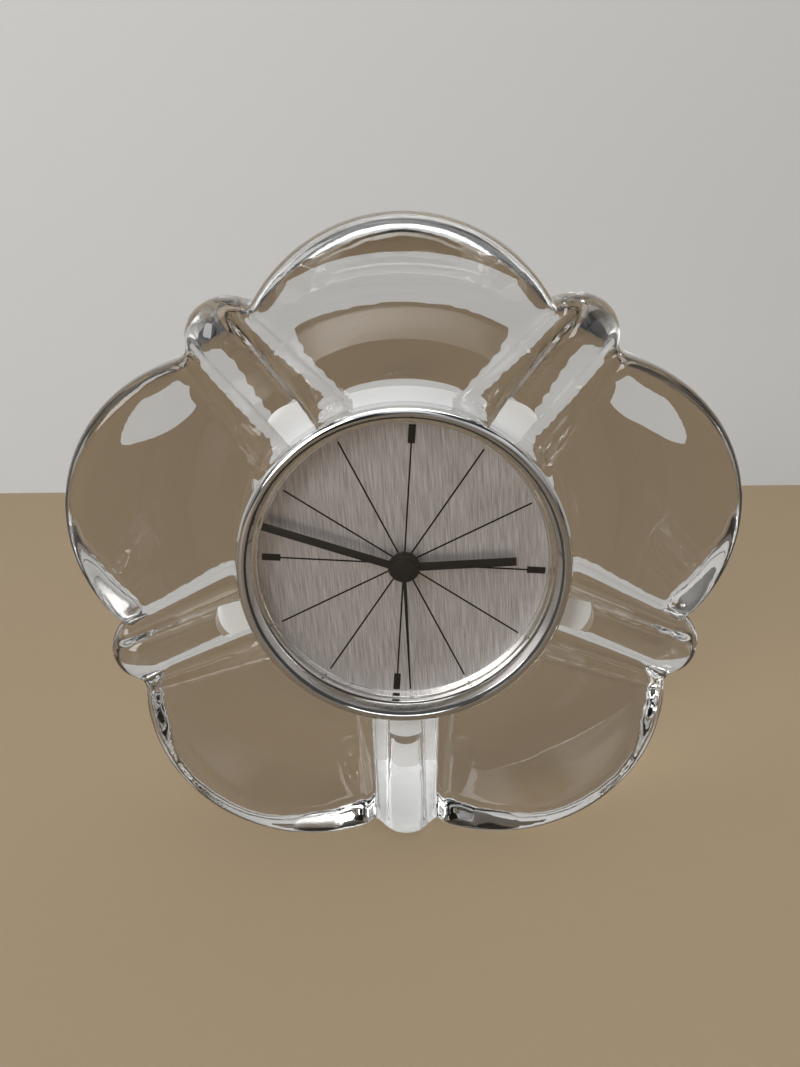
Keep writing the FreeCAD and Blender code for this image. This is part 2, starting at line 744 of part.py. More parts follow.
def motion_work():
    thick = size("wheel_thickness")
    clear = size("running_clearance")
    arbor = size("arbor_radius")
    wall = size("tube_wall")
    cannon_bore = arbor + clear
    cannon_radius = cannon_bore + wall
    hour_bore = cannon_radius + clear
    hour_radius = hour_bore + wall
    module = module_for("motion_distance", CANNON_TEETH, MOTION_TEETH)
    inner_module = module_for("motion_distance", MOTION_PINION_TEETH, HOUR_TEETH)
    line = heading(centre_axis, motion_axis)

    cannon_phase = line
    minute_front = place("dial_face") - size("minute_hand_level") - size("hand_thickness")
    pinion = wheel_shape(CANNON_TEETH, module, cannon_phase, centre_axis, level(2), thick, cannon_bore)
    tube = shaft_shape(cannon_radius, centre_axis, minute_front, level(3) + thick, cannon_bore)
    publish("cannon_pinion", computed("cannon", pinion.fuse(tube).removeSplitter()))

    hour_phase = line
    hour_front = place("dial_face") - size("hour_hand_level") - size("hand_thickness")
    wheel = wheel_shape(HOUR_TEETH, inner_module, hour_phase, centre_axis, level(1), thick, hour_bore)
    pipe = shaft_shape(hour_radius, centre_axis, hour_front, level(1) + thick, hour_bore)
    publish("hour_wheel", computed("hour_pipe", wheel.fuse(pipe).removeSplitter()))

    stud_bore = size("stud_radius") + clear
    motion_phase = mating_phase(CANNON_TEETH, cannon_phase, centre_axis, MOTION_TEETH, motion_axis)
    pinion_phase = mating_phase(HOUR_TEETH, hour_phase, centre_axis, MOTION_PINION_TEETH, motion_axis)
    wheel = wheel_shape(MOTION_TEETH, module, motion_phase, motion_axis, level(2), thick, stud_bore)
    small = wheel_shape(
        MOTION_PINION_TEETH, inner_module, pinion_phase, motion_axis, level(1), size("level_pitch"), stud_bore)
    publish("motion_wheel", computed("motion", wheel.fuse(small).removeSplitter()))

    setting_phase = mating_phase(MOTION_TEETH, motion_phase, motion_axis, SETTING_TEETH, setting_axis)
    knob_start = place("cup_end") + size("knob_gap")
    knob_end = knob_start + size("knob_thickness")
    teeth = wheel_shape(SETTING_TEETH, module, setting_phase, setting_axis, level(2), thick)
    shaft = shaft_shape(size("knob_shaft_radius"), setting_axis, level(2), knob_end)
    head = shaft_shape(size("knob_radius"), setting_axis, knob_start, knob_end)
    groove_count = 18
    for index in range(groove_count):
        across, up = polar(size("knob_radius"), 360 / groove_count * index)
        notch_axis = (setting_axis[0] + across, setting_axis[1] + up)
        head = head.cut(shaft_shape(size("knob_groove") / 2, notch_axis, knob_start, knob_end))
    publish("set_knob", computed("knob", teeth.fuse([shaft, head]).removeSplitter()))


def going_train():
    thick = size("wheel_thickness")
    clear = size("running_clearance")
    arbor = size("arbor_radius")
    pivot_front = place("front_plate_back") - size("plate_thickness") / 2
    pivot_back = place("back_plate_front") + size("back_plate_thickness") / 2
    cannon_radius = arbor + clear + size("tube_wall")

    third_module = module_for("third_distance", THIRD_PINION_TEETH, CENTRE_TEETH)
    line = heading(third_axis, centre_axis)
    centre_phase = mating_phase(THIRD_PINION_TEETH, line, third_axis, CENTRE_TEETH, centre_axis)
    disc = wheel_shape(
        CENTRE_TEETH, third_module, centre_phase, centre_axis, level(3), thick, cannon_radius + clear)
    publish("centre_wheel", computed("centre_disc", disc))

    seconds_module = module_for("third_distance", SECONDS_PINION_TEETH, THIRD_TEETH)
    seconds_phase = heading(centre_axis, third_axis)
    third_phase = mating_phase(SECONDS_PINION_TEETH, seconds_phase, centre_axis, THIRD_TEETH, third_axis)
    small = wheel_shape(THIRD_PINION_TEETH, third_module, line, third_axis, level(3), size("level_pitch"))
    large = wheel_shape(THIRD_TEETH, seconds_module, third_phase, third_axis, level(4), thick)
    shaft = shaft_shape(arbor, third_axis, pivot_front, pivot_back)
    publish("third_wheel", computed("third", large.fuse([small, shaft]).removeSplitter()))

    fourth_module = module_for("intermediate_distance", INTERMEDIATE_PINION_TEETH, SECONDS_TEETH)
    line = heading(intermediate_axis, centre_axis)
    wheel_phase = mating_phase(
        INTERMEDIATE_PINION_TEETH, line, intermediate_axis, SECONDS_TEETH, centre_axis)
    second_front = place("dial_face") - size("second_hand_level") - size("hand_thickness")
    small = wheel_shape(
        SECONDS_PINION_TEETH, seconds_module, seconds_phase, centre_axis, level(4), size("level_pitch"))
    large = wheel_shape(SECONDS_TEETH, fourth_module, wheel_phase, centre_axis, level(5), thick)
    shaft = shaft_shape(arbor, centre_axis, second_front, pivot_back)
    publish("seconds_wheel", computed("seconds", large.fuse([small, shaft]).removeSplitter()))

    rotor_module = module_for("rotor_distance", ROTOR_PINION_TEETH, INTERMEDIATE_TEETH)
    rotor_line = heading(rotor_axis, intermediate_axis)
    wheel_phase = mating_phase(ROTOR_PINION_TEETH, rotor_line, rotor_axis, INTERMEDIATE_TEETH, intermediate_axis)
    small = wheel_shape(
        INTERMEDIATE_PINION_TEETH, fourth_module, line, intermediate_axis, level(5), size("level_pitch"))
    large = wheel_shape(INTERMEDIATE_TEETH, rotor_module, wheel_phase, intermediate_axis, level(6), thick)
    shaft = shaft_shape(arbor, intermediate_axis, pivot_front, pivot_back)
    publish("intermediate_wheel", computed("intermediate", large.fuse([small, shaft]).removeSplitter()))

    small = wheel_shape(ROTOR_PINION_TEETH, rotor_module, rotor_line, rotor_axis, level(6), thick)
    shaft = shaft_shape(arbor, rotor_axis, pivot_front, pivot_back)
    publish("rotor_pinion", computed("rotor_arbor", small.fuse(shaft).removeSplitter()))
    middle = place("core_axis")
    half = size("rotor_length") / 2
    magnet = shaft_shape(size("rotor_radius"), rotor_axis, middle - half, middle + half, arbor)
    publish("rotor_magnet", computed("magnet", magnet))


# Movement plates, pillars and screws


PILLAR_SHARES = ((-0.28, 0.565), (0.28, 0.58), (-0.094, -0.304))


def pillar_places():
    """Pillar axes, as shares of the case's radius."""
    radius = size("cup_radius")
    return [(across * radius, up * radius) for across, up in PILLAR_SHARES]


def pivot_axes():
    return [third_axis, intermediate_axis, rotor_axis]


def front_plate():
    plate = rod(
        "front_plate_disc", "places.cup_bore - sizes.front_plate_margin", "places.dial_back", "sizes.plate_thickness")
    bush_radius = size("arbor_radius") + 3 * size("running_clearance") + 2 * size("tube_wall")
    bush_front = place("dial_face") - size("bush_length")
    front = place("dial_back")
    back = place("front_plate_back")
    wall = size("bush_wall")
    bush = shaft_shape(bush_radius + wall, centre_axis, bush_front, back)
    stud = shaft_shape(size("stud_radius"), motion_axis, back, level(2) + size("wheel_thickness"))
    solids = [bush, stud]
    holes = [shaft_shape(bush_radius, centre_axis, bush_front, back)]
    for axis in pillar_places():
        solids.append(shaft_shape(size("pillar_radius"), axis, back, place("back_plate_front")))
        depth = size("plate_screw_length")
        holes.append(shaft_shape(size("pillar_hole"), axis, place("back_plate_front") - depth, place("back_plate_front")))
    middle = (front + back) / 2
    for axis in pivot_axes():
        holes.append(shaft_shape(size("arbor_radius") + size("running_clearance"), axis, middle, back))
    posts = fuse("front_plate_solid", plate, *[
        computed("front_plate_post_%d" % index, shape) for index, shape in enumerate(solids)])
    holes_node = computed("front_plate_holes", Part.makeCompound(holes))
    publish("front_plate", cut("front_plate_bored", posts, holes_node))


def back_plate():
    plate = rod("back_plate_disc", "sizes.back_plate_radius", "places.back_plate_front", "sizes.back_plate_thickness")
    front = place("back_plate_front")
    back = place("back_plate_back")
    posts = []
    for side in (-1, 1):
        axis = (side * size("case_post_across"), size("case_post_up"))
        posts.append(shaft_shape(size("case_post_radius"), axis, front, place("cup_floor")))
    solid = fuse("back_plate_solid", plate, *[
        computed("back_plate_post_%d" % index, shape) for index, shape in enumerate(posts)])
    clear = size("running_clearance")
    reach = size("arbor_radius") + clear
    middle = (front + back) / 2
    holes = [shaft_shape(reach, axis, front, middle) for axis in pivot_axes() + [centre_axis]]
    holes.append(shaft_shape(size("knob_shaft_radius") + clear, setting_axis, front, back))
    for axis in pillar_places():
        holes.append(shaft_shape(size("screw_radius") + clear, axis, front, back))
    for side in (-1, 1):
        axis = (side * size("case_post_across"), size("case_post_up"))
        end = place("cup_floor")
        holes.append(shaft_shape(size("screw_radius") + clear, axis, end - size("plate_screw_length"), end))
    bored = cut("back_plate_bored", solid, computed("back_plate_holes", Part.makeCompound(holes)))
    bay = block(
        "battery_bay", "-sizes.back_plate_radius", "places.back_plate_front - sizes.overrun",
        "-2 * sizes.back_plate_radius", "2 * sizes.back_plate_radius", "2 * sizes.overrun",
        "2 * sizes.back_plate_radius - sizes.battery_drop + sizes.battery_radius"
        " + sizes.tray_wall + sizes.cover_clearance")
    publish("back_plate", cut("back_plate_shape", bored, bay))


def screw_shape(axis, seat, length):
    """A slotted screw driven from behind; seat is the face under its head."""
    head = shaft_shape(size("screw_head_radius"), axis, seat, seat + size("screw_head"))
    slot_width = size("screw_slot")
    reach = size("screw_head_radius")
    corner = Vector(axis[0] - reach, seat + size("screw_head") / 2, axis[1] - slot_width / 2)
    slot = Part.makeBox(2 * reach, size("screw_head"), slot_width, corner)
    shank = shaft_shape(size("screw_radius"), axis, seat - length, seat)
    return head.cut(slot).fuse(shank).removeSplitter()


def screws():
    seat = place("back_plate_back")
    length = size("back_plate_thickness") + size("plate_screw_length") * 0.9
    plate_set = [screw_shape(axis, seat, length) for axis in pillar_places()]
    publish("plate_screws", computed("plate_screw_set", Part.makeCompound(plate_set)))
    seat = place("cup_end")
    length = size("cup_back_wall") + size("plate_screw_length") * 0.9
    case_set = []
    for side in (-1, 1):
        axis = (side * size("case_post_across"), size("case_post_up"))
        case_set.append(screw_shape(axis, seat, length))
    publish("case_screws", computed("case_screw_set", Part.makeCompound(case_set)))


# Stepping motor


def box_shape(left, front, bottom, right, back, top):
    return Part.makeBox(right - left, back - front, top - bottom, Vector(left, front, bottom))


def stator():
    """A closed loop of soft iron round the rotor, whose far side is the coil's core."""
    middle = place("core_axis")
    half = size("stator_thickness") / 2
    front = middle - half
    back = middle + half
    top = size("stator_top")
    bottom = -size("stator_bottom")
    arm = size("stator_arm")
    inner = -size("stator_block_inner")
    outer = -size("stator_block_outer")
    far = -size("core_outer")
    shape = box_shape(outer, front, bottom, inner, back, top)
    shape = shape.fuse([
        box_shape(far, front, top - arm, outer, back, top),
        box_shape(far, front, bottom, outer, back, bottom + arm),
        box_shape(far, front, bottom, far + size("core_width"), back, top)])
    shape = shape.cut(shaft_shape(size("rotor_radius") + size("stator_gap"), rotor_axis, front, back))
    publish("stator", computed("stator_loop", shape.removeSplitter()))


def coil():
    middle = place("core_axis")
    core = -size("core_outer") + size("core_width") / 2
    top = size("bobbin_top")
    bottom = -size("bobbin_bottom")
    flange = size("bobbin_flange")
    wall = size("bobbin_tube_wall")
    clear = size("running_clearance")
    half_width = size("core_width") / 2 + clear
    half_depth = size("stator_thickness") / 2 + clear
    tube_radius = math.hypot(half_width, half_depth) + wall
    up = Vector(0, 0, 1)
    foot = Vector(core, middle, bottom)
    tube = Part.makeCylinder(tube_radius, top - bottom, foot, up)
    low = Part.makeCylinder(size("bobbin_radius"), flange, foot, up)
    high = Part.makeCylinder(size("bobbin_radius"), flange, Vector(core, middle, top - flange), up)
    hole = box_shape(core - half_width, middle - half_depth, bottom, core + half_width, middle + half_depth, top)
    publish("coil_bobbin", computed("bobbin", tube.fuse([low, high]).cut(hole).removeSplitter()))
    length = top - bottom - 2 * flange
    start = Vector(core, middle, bottom + flange)
    winding = Part.makeCylinder(size("winding_radius"), length, start, up)
    winding = winding.cut(Part.makeCylinder(tube_radius, length, start, up))
    publish("coil_winding", computed("winding", winding))


def electronics():
    front = place("front_plate_back")
    board_start = front + size("board_gap")
    board_end = board_start + size("board_thickness")
    left = size("board_left")
    bottom = -size("board_bottom")
    right = left + size("board_width")
    top = bottom + size("board_height")
    limit = shaft_shape(place("cup_bore") - 2 * size("front_plate_margin"), centre_axis, front, board_end)
    board = box_shape(left, board_start, bottom, right, board_end, top)
    middle = (left + right) / 2
    legs = [
        box_shape(middle - size("board_gap"), front, height, middle + size("board_gap"), board_start, height + size("board_gap"))
        for height in (bottom + size("board_thickness"), top - 4 * size("board_thickness"))]
    publish("circuit_board", computed("board", board.fuse(legs).common(limit).removeSplitter()))
    side = size("chip_side")
    chip_bottom = (top + bottom) / 2
    publish("clock_chip", computed("chip_body", box_shape(
        middle - side / 2, board_end, chip_bottom, middle + side / 2, board_end + size("chip_height"), chip_bottom + side)))
    radius = size("can_radius")
    can = Part.makeCylinder(
        radius, size("can_length"), Vector(middle - side / 2, board_end + radius, bottom + side), Vector(1, 0, 0))
    publish("quartz_can", computed("can", can))


# Battery, its tray, contacts and cover


def battery_set():
    axis_depth = place("battery_axis")
    drop = -size("battery_drop")
    radius = size("battery_radius")
    length = size("battery_length")
    nub = size("battery_nub")
    across = Vector(1, 0, 0)
    start = Vector(-length / 2, axis_depth, drop)
    cell = Part.makeCylinder(radius, length - nub, start, across)
    cap = Part.makeCylinder(
        size("battery_nub_radius"), nub, Vector(length / 2 - nub, axis_depth, drop), across)
    publish("battery", computed("cell", cell.fuse(cap).removeSplitter()))

    clear = size("battery_clearance")
    wall = size("tray_wall")
    gap = size("tray_end_gap")
    front = place("front_plate_back")
    half = length / 2 + gap + wall
    low = drop - radius - wall
    high = drop + radius + wall
    tray = box_shape(-half, front, low, half, front + size("tray_height"), high)
    pocket = Part.makeCylinder(radius + clear, length + 2 * gap, Vector(-length / 2 - gap, axis_depth, drop), across)
    slot = box_shape(
        -length / 2 - gap, axis_depth, drop - radius - clear,
        length / 2 + gap, front + size("tray_height"), drop + radius + clear)
    limit = shaft_shape(place("cup_bore") - size("front_plate_margin"), centre_axis, front, front + size("tray_height"))
    tray = tray.cut(pocket.fuse(slot)).common(limit).removeSplitter()
    publish("battery_tray", computed("tray", tray))

    thin = size("contact_thickness")
    half_contact = size("contact_width") / 2
    foot = size("contact_foot")
    for name, side in (("contact_plus", 1), ("contact_minus", -1)):
        near = side * (length / 2 + thin / 6)
        far = near + side * thin
        plate = box_shape(
            min(near, far), axis_depth - half_contact, drop - half_contact,
            max(near, far), axis_depth + half_contact, drop + half_contact)
        wall_face = side * (length / 2 + gap)
        leaf = box_shape(
            min(far, wall_face), axis_depth - half_contact, drop - half_contact,
            max(far, wall_face), axis_depth + half_contact, drop - half_contact + thin)
        back_leaf = box_shape(
            min(wall_face, wall_face - side * thin), axis_depth - half_contact, drop - half_contact,
            max(wall_face, wall_face - side * thin), axis_depth + half_contact, drop - half_contact + foot)
        shape = plate.fuse([leaf, back_leaf]).removeSplitter()
        publish(name, computed(name + "_strip", shape))


def battery_cover():
    """A plain lid over the hatch, with a plug behind it and a raised grip."""
    clear = "sizes.cover_clearance"
    margin = "sizes.cover_margin"
    lid = block(
        "cover_lid", "-sizes.hatch_width / 2 - " + margin, "places.cup_end",
        "-sizes.battery_drop - sizes.hatch_height / 2 - " + margin + " / 2",
        "sizes.hatch_width + 2 * " + margin, "sizes.cover_thickness", "sizes.hatch_height + " + margin)
    plug = block(
        "cover_plug", "-sizes.hatch_width / 2 + " + clear, "places.cup_floor",
        "-sizes.battery_drop - sizes.hatch_height / 2 + " + clear,
        "sizes.hatch_width - 2 * " + clear, "sizes.cup_back_wall",
        "sizes.hatch_height - 2 * " + clear)
    members = [lid, plug]
    for index in range(3):
        members.append(block(
            "cover_grip_%d" % index, "-sizes.contact_width", "places.cup_end + sizes.cover_thickness",
            "-sizes.battery_drop + %d * 3 * sizes.cover_grip" % (index - 1),
            "2 * sizes.contact_width", "sizes.cover_grip", "sizes.cover_grip"))
    limit = rod(
        "cover_limit", "sizes.cup_radius - sizes.seat_clearance", "places.cup_floor - sizes.overrun",
        "2 * sizes.overrun + sizes.cover_thickness")
    publish("battery_cover", common("cover", fuse("cover_solid", *members), limit))


# Hands


def hand_bar(name, level_name, width, reach, tail, turn):
    """A straight bar from the dial's axis, turned clockwise from twelve."""
    thick = size("hand_thickness")
    front = place("dial_face") - size(level_name) - thick
    bar = box_shape(-width / 2, front, -tail, width / 2, front + thick, reach)
    bar.rotate(Vector(), Vector(0, 1, 0), turn)
    return bar


def boss_shape(radius, level_name, bore):
    """The round boss that a hand is riveted to."""
    front = place("dial_face") - size(level_name) - size("hand_thickness")
    back = front + size("boss_thickness")
    return shaft_shape(radius, centre_axis, front, back, bore)


def hands():
    minutes = MINUTES_SHOWN + SECONDS_SHOWN / 60
    hours = HOURS_SHOWN + minutes / 60
    arbor = size("arbor_radius")
    cannon_radius = arbor + size("running_clearance") + size("tube_wall")
    hour_radius = cannon_radius + size("running_clearance") + size("tube_wall")

    bar = hand_bar("hour", "hour_hand_level", size("hour_hand_width"), size("hour_hand_reach"), 0.0, 360 / HOURS * hours)
    boss = boss_shape(size("hour_boss_radius"), "hour_hand_level", 0.0)
    bore = shaft_shape(hour_radius, centre_axis, place("bezel_face"), place("dial_face"))
    publish("hour_hand", computed("hour_bar", bar.fuse(boss).cut(bore).removeSplitter()))

    bar = hand_bar(
        "minute", "minute_hand_level", size("minute_hand_width"), size("minute_hand_reach"), 0.0, 6 * minutes)
    boss = boss_shape(size("minute_boss_radius"), "minute_hand_level", 0.0)
    bore = shaft_shape(cannon_radius, centre_axis, place("bezel_face"), place("dial_face"))
    publish("minute_hand", computed("minute_bar", bar.fuse(boss).cut(bore).removeSplitter()))

    half = size("second_hand_width") / 2
    point = size("second_hand_point") / 2
    thick = size("hand_thickness")
    front = place("dial_face") - size("second_hand_level") - thick
    corners = [
        Vector(-half, front, -size("second_hand_tail")), Vector(-point, front, size("second_hand_reach")),
        Vector(point, front, size("second_hand_reach")), Vector(half, front, -size("second_hand_tail"))]
    needle = Part.Face(Part.makePolygon(corners + [corners[0]])).extrude(Vector(0, thick, 0))
    needle.rotate(Vector(), Vector(0, 1, 0), 6 * SECONDS_SHOWN)
    cap_back = front + thick
    cap = shaft_shape(size("second_boss_radius"), centre_axis, cap_back - size("boss_thickness"), cap_back)
    bore = shaft_shape(arbor, centre_axis, front, place("dial_face"))
    publish("second_hand", computed("second_needle", needle.fuse(cap).cut(bore).removeSplitter()))


def check_document():
    """Stop if any object failed, or if a sub-part's solid is missing or wrong."""
    doc.recompute()
    for item in doc.Objects:
        if "Invalid" in item.State or "Error" in item.State:
            raise RuntimeError("%s failed" % item.Name)
    for node in subparts:
        if node.Shape.isNull() or not node.Shape.isValid() or not node.Shape.Solids:
            raise RuntimeError("%s has no valid solid" % node.Label)


def write_parts():
    os.makedirs("parts", exist_ok=True)
    for node in subparts:
        node.Shape.exportStep("parts/%s.step" % node.Label)
        box = node.Shape.BoundBox
        print("%-20s solids %d volume %.2f y %.2f..%.2f" % (
            node.Label, len(node.Shape.Solids), node.Shape.Volume, box.YMin, box.YMax))


crystal_body()
bezel()
glass_gasket()
clock_glass()
reflector_ring()
dial()
dial_prints()
case_cup()
bore_gasket()
motion_work()
going_train()
front_plate()
back_plate()
screws()
stator()
coil()
electronics()
battery_set()
battery_cover()
hands()
check_document()
write_parts()
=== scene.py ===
import math

import bpy
from mathutils import Matrix, Vector


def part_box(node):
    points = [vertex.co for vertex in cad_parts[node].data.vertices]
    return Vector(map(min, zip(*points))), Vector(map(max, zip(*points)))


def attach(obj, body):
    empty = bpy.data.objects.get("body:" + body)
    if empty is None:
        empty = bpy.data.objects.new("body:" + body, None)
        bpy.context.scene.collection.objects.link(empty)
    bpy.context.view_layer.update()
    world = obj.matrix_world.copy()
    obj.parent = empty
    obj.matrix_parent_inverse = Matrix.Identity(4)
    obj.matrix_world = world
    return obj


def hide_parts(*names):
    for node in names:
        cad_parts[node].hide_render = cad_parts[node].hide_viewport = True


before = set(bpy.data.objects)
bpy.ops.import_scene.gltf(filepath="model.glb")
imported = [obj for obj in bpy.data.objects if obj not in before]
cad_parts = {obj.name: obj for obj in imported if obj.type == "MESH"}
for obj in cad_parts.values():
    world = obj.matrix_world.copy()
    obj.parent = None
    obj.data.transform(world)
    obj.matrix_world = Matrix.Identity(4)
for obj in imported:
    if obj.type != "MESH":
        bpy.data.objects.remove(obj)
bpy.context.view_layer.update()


# Camera and studio.
# The camera stands where the photograph was taken from: a little above the clock, close in front
# of it and looking down on the dial. Its place is given from the dial's centre.

DIAL_CENTRE = Vector((0.0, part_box("dial")[0].y, (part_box("bezel")[0].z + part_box("bezel")[1].z) / 2))
CAMERA_FROM_DIAL = Vector((-0.0008, -0.1784, 0.0698))
CAMERA_PITCH = math.radians(70.5)
CAMERA_ROLL = math.radians(-0.6)
LENS_PIXELS = 900
FRAME_HEIGHT_PIXELS = 1067
SENSOR = 36.0

camera_data = bpy.data.cameras.new("photo_camera")
camera_data.sensor_width = SENSOR
camera_data.lens = SENSOR * LENS_PIXELS / FRAME_HEIGHT_PIXELS
camera = bpy.data.objects.new("photo_camera", camera_data)
bpy.context.scene.collection.objects.link(camera)
camera.location = DIAL_CENTRE + CAMERA_FROM_DIAL
turn = Matrix.Rotation(CAMERA_PITCH, 3, "X") @ Matrix.Rotation(CAMERA_ROLL, 3, "Z")
camera.rotation_euler = turn.to_euler()
bpy.context.scene.camera = camera
bpy.context.scene.view_settings.view_transform = "Standard"

FLOOR_COLOUR = (0.33, 0.247, 0.150, 1.0)
# Painted shade: the floor's colour where metal mirrors it, darker than the floor itself
FLOOR_PAINTED_SHADE_IN_METAL = (0.16, 0.12, 0.08, 1.0)
# Painted shadow: the floor's colour where it is seen through the crystal, which casts no shadow of its own
FLOOR_PAINTED_SHADOW_IN_CRYSTAL = (0.21, 0.150, 0.086, 1.0)
WALL_COLOUR = (0.72, 0.74, 0.75, 1.0)
# Painted shadow: the wall's colour where it is seen through the crystal
WALL_PAINTED_SHADOW_IN_CRYSTAL = (0.70, 0.72, 0.74, 1.0)
FLOOR_SIZE = 6.0
WALL_DISTANCE = 0.259
PAPER_ROUGHNESS = 0.7
LAMP_TARGET = Vector((0, 0, 0.06))
FACING_FRONT = (math.radians(90), 0, 0)

# Sockets of a node that blends two colours: the second one's share, both colours, and the result
BLEND_SHARE = 0
BLEND_FIRST = 6
BLEND_SECOND = 7
BLENDED = 2


def let_go():
    """Leave edit mode and deselect every object."""
    if bpy.context.mode != "OBJECT":
        bpy.ops.object.mode_set(mode="OBJECT")
    bpy.ops.object.select_all(action="DESELECT")


def tune(node, values):
    """Set some of a node's values."""
    for socket, value in values.items():
        node.inputs[socket].default_value = value
    return node


def blend(nodes, values):
    """A new node that blends two colours, with some of its values set."""
    mixer = nodes.new("ShaderNodeMix")
    mixer.data_type = "RGBA"
    return tune(mixer, values)


def new_finish(name):
    """A new finish, with its nodes, its links and its shader."""
    made = bpy.data.materials.new(name)
    made.use_nodes = True
    nodes = made.node_tree.nodes
    return made, nodes, made.node_tree.links, nodes["Principled BSDF"]


def backing(name, centre, turned, colour, painted_shade_in_metal, painted_shadow_in_crystal):
    """A flat sheet of studio background with painted shade: its colour is darkened where metal mirrors it,
    and a painted shadow darkens it where it is seen through crystal.
    """
    let_go()
    bpy.ops.mesh.primitive_plane_add(size=FLOOR_SIZE, location=centre, rotation=turned)
    sheet = bpy.context.object
    sheet.name = name
    paper, nodes, links, shader = new_finish(name)
    shader.inputs["Roughness"].default_value = PAPER_ROUGHNESS
    seen_by = nodes.new("ShaderNodeLightPath")
    # Painted shade: rays that come by a mirror, and not through crystal, see the sheet darker
    painted_shade_mask = nodes.new("ShaderNodeMath")
    painted_shade_mask.operation = "SUBTRACT"
    painted_shade_mask.use_clamp = True
    links.new(seen_by.outputs["Is Glossy Ray"], painted_shade_mask.inputs[0])
    links.new(seen_by.outputs["Is Transmission Ray"], painted_shade_mask.inputs[1])
    with_painted_shade_in_metal = blend(nodes, {BLEND_FIRST: colour, BLEND_SECOND: painted_shade_in_metal})
    links.new(painted_shade_mask.outputs["Value"], with_painted_shade_in_metal.inputs[BLEND_SHARE])
    # Painted shadow: rays that come through crystal see the sheet darker, in place of the crystal's own
    # shadow
    with_painted_shadow_in_crystal = blend(nodes, {BLEND_SECOND: painted_shadow_in_crystal})
    links.new(seen_by.outputs["Is Transmission Ray"], with_painted_shadow_in_crystal.inputs[BLEND_SHARE])
    links.new(with_painted_shade_in_metal.outputs[BLENDED], with_painted_shadow_in_crystal.inputs[BLEND_FIRST])
    links.new(with_painted_shadow_in_crystal.outputs[BLENDED], shader.inputs["Base Color"])
    sheet.data.materials.append(paper)


backing("floor", (0, 0, 0), (0, 0, 0), FLOOR_COLOUR, FLOOR_PAINTED_SHADE_IN_METAL, FLOOR_PAINTED_SHADOW_IN_CRYSTAL)
backing("backdrop", (0, WALL_DISTANCE, 0), FACING_FRONT, WALL_COLOUR, WALL_COLOUR, WALL_PAINTED_SHADOW_IN_CRYSTAL)


def soft_lamp(name, place, size, power):
    """A large soft lamp that points at the clock."""
    lamp_data = bpy.data.lights.new(name, "AREA")
    lamp_data.shape = "RECTANGLE"
    lamp_data.size = size[0]
    lamp_data.size_y = size[1]
    lamp_data.energy = power
    lamp = bpy.data.objects.new(name, lamp_data)
    lamp.location = place
    lamp.rotation_euler = (LAMP_TARGET - Vector(place)).to_track_quat("-Z", "Y").to_euler()
    bpy.context.scene.collection.objects.link(lamp)


soft_lamp("window_left", place=(-0.75, -0.95, 0.65), size=(0.5, 0.9), power=9)
soft_lamp("window_above", place=(0.1, -0.1, 1.3), size=(1.4, 0.8), power=7)

# The room: plain and pale for the camera. In reflections it is pale overhead, dim near the horizon and
# uneven, so that the edges of the crystal have something to show.
PLAIN_ROOM = (0.60, 0.61, 0.62, 1.0)
ROOM_BANDS = (
    (0.0, (0.10, 0.095, 0.09, 1.0)), (1.0, (0.62, 0.63, 0.65, 1.0)),
    (0.30, (0.20, 0.20, 0.20, 1.0)), (0.55, (0.42, 0.42, 0.43, 1.0)))


def tint(ramp, bands):
    """Lay bands of colour on a ramp: the first two are its ends, and the others come between them."""
    elements = ramp.color_ramp.elements
    for index, (position, colour) in enumerate(bands):
        element = elements[index] if index < 2 else elements.new(position)
        element.position = position
        element.color = colour


studio = bpy.data.worlds.new("studio")
studio.use_nodes = True
nodes = studio.node_tree.nodes
links = studio.node_tree.links
sky = nodes.new("ShaderNodeTexCoord")
height = nodes.new("ShaderNodeSeparateXYZ")
room = nodes.new("ShaderNodeValToRGB")
tint(room, ROOM_BANDS)
furnishing = tune(nodes.new("ShaderNodeTexNoise"), {"Scale": 2.2, "Detail": 1})
contrast = tune(
    nodes.new("ShaderNodeMapRange"), {"From Min": 0.45, "From Max": 0.55, "To Min": 0.08, "To Max": 1.7})
dapple = blend(nodes, {BLEND_SHARE: 1.0})
dapple.blend_type = "MULTIPLY"
links.new(sky.outputs["Generated"], height.inputs["Vector"])
links.new(sky.outputs["Generated"], furnishing.inputs["Vector"])
links.new(furnishing.outputs["Fac"], contrast.inputs["Value"])
links.new(height.outputs["Z"], room.inputs["Fac"])
links.new(room.outputs["Color"], dapple.inputs[BLEND_FIRST])
links.new(contrast.outputs["Result"], dapple.inputs[BLEND_SECOND])
seen_directly = nodes.new("ShaderNodeLightPath")
plain_room = blend(nodes, {BLEND_SECOND: PLAIN_ROOM})
links.new(seen_directly.outputs["Is Camera Ray"], plain_room.inputs[BLEND_SHARE])
links.new(dapple.outputs[BLENDED], plain_room.inputs[BLEND_FIRST])
links.new(plain_room.outputs[BLENDED], nodes["Background"].inputs["Color"])
nodes["Background"].inputs["Strength"].default_value = 1.0
bpy.context.scene.world = studio


# Crystal flower.
# One heavy block of clear lead crystal, pressed in a mould as five round petals with a rib between
# each pair, then fire-polished. Its bore is ground, and so are its front facet and its foot.

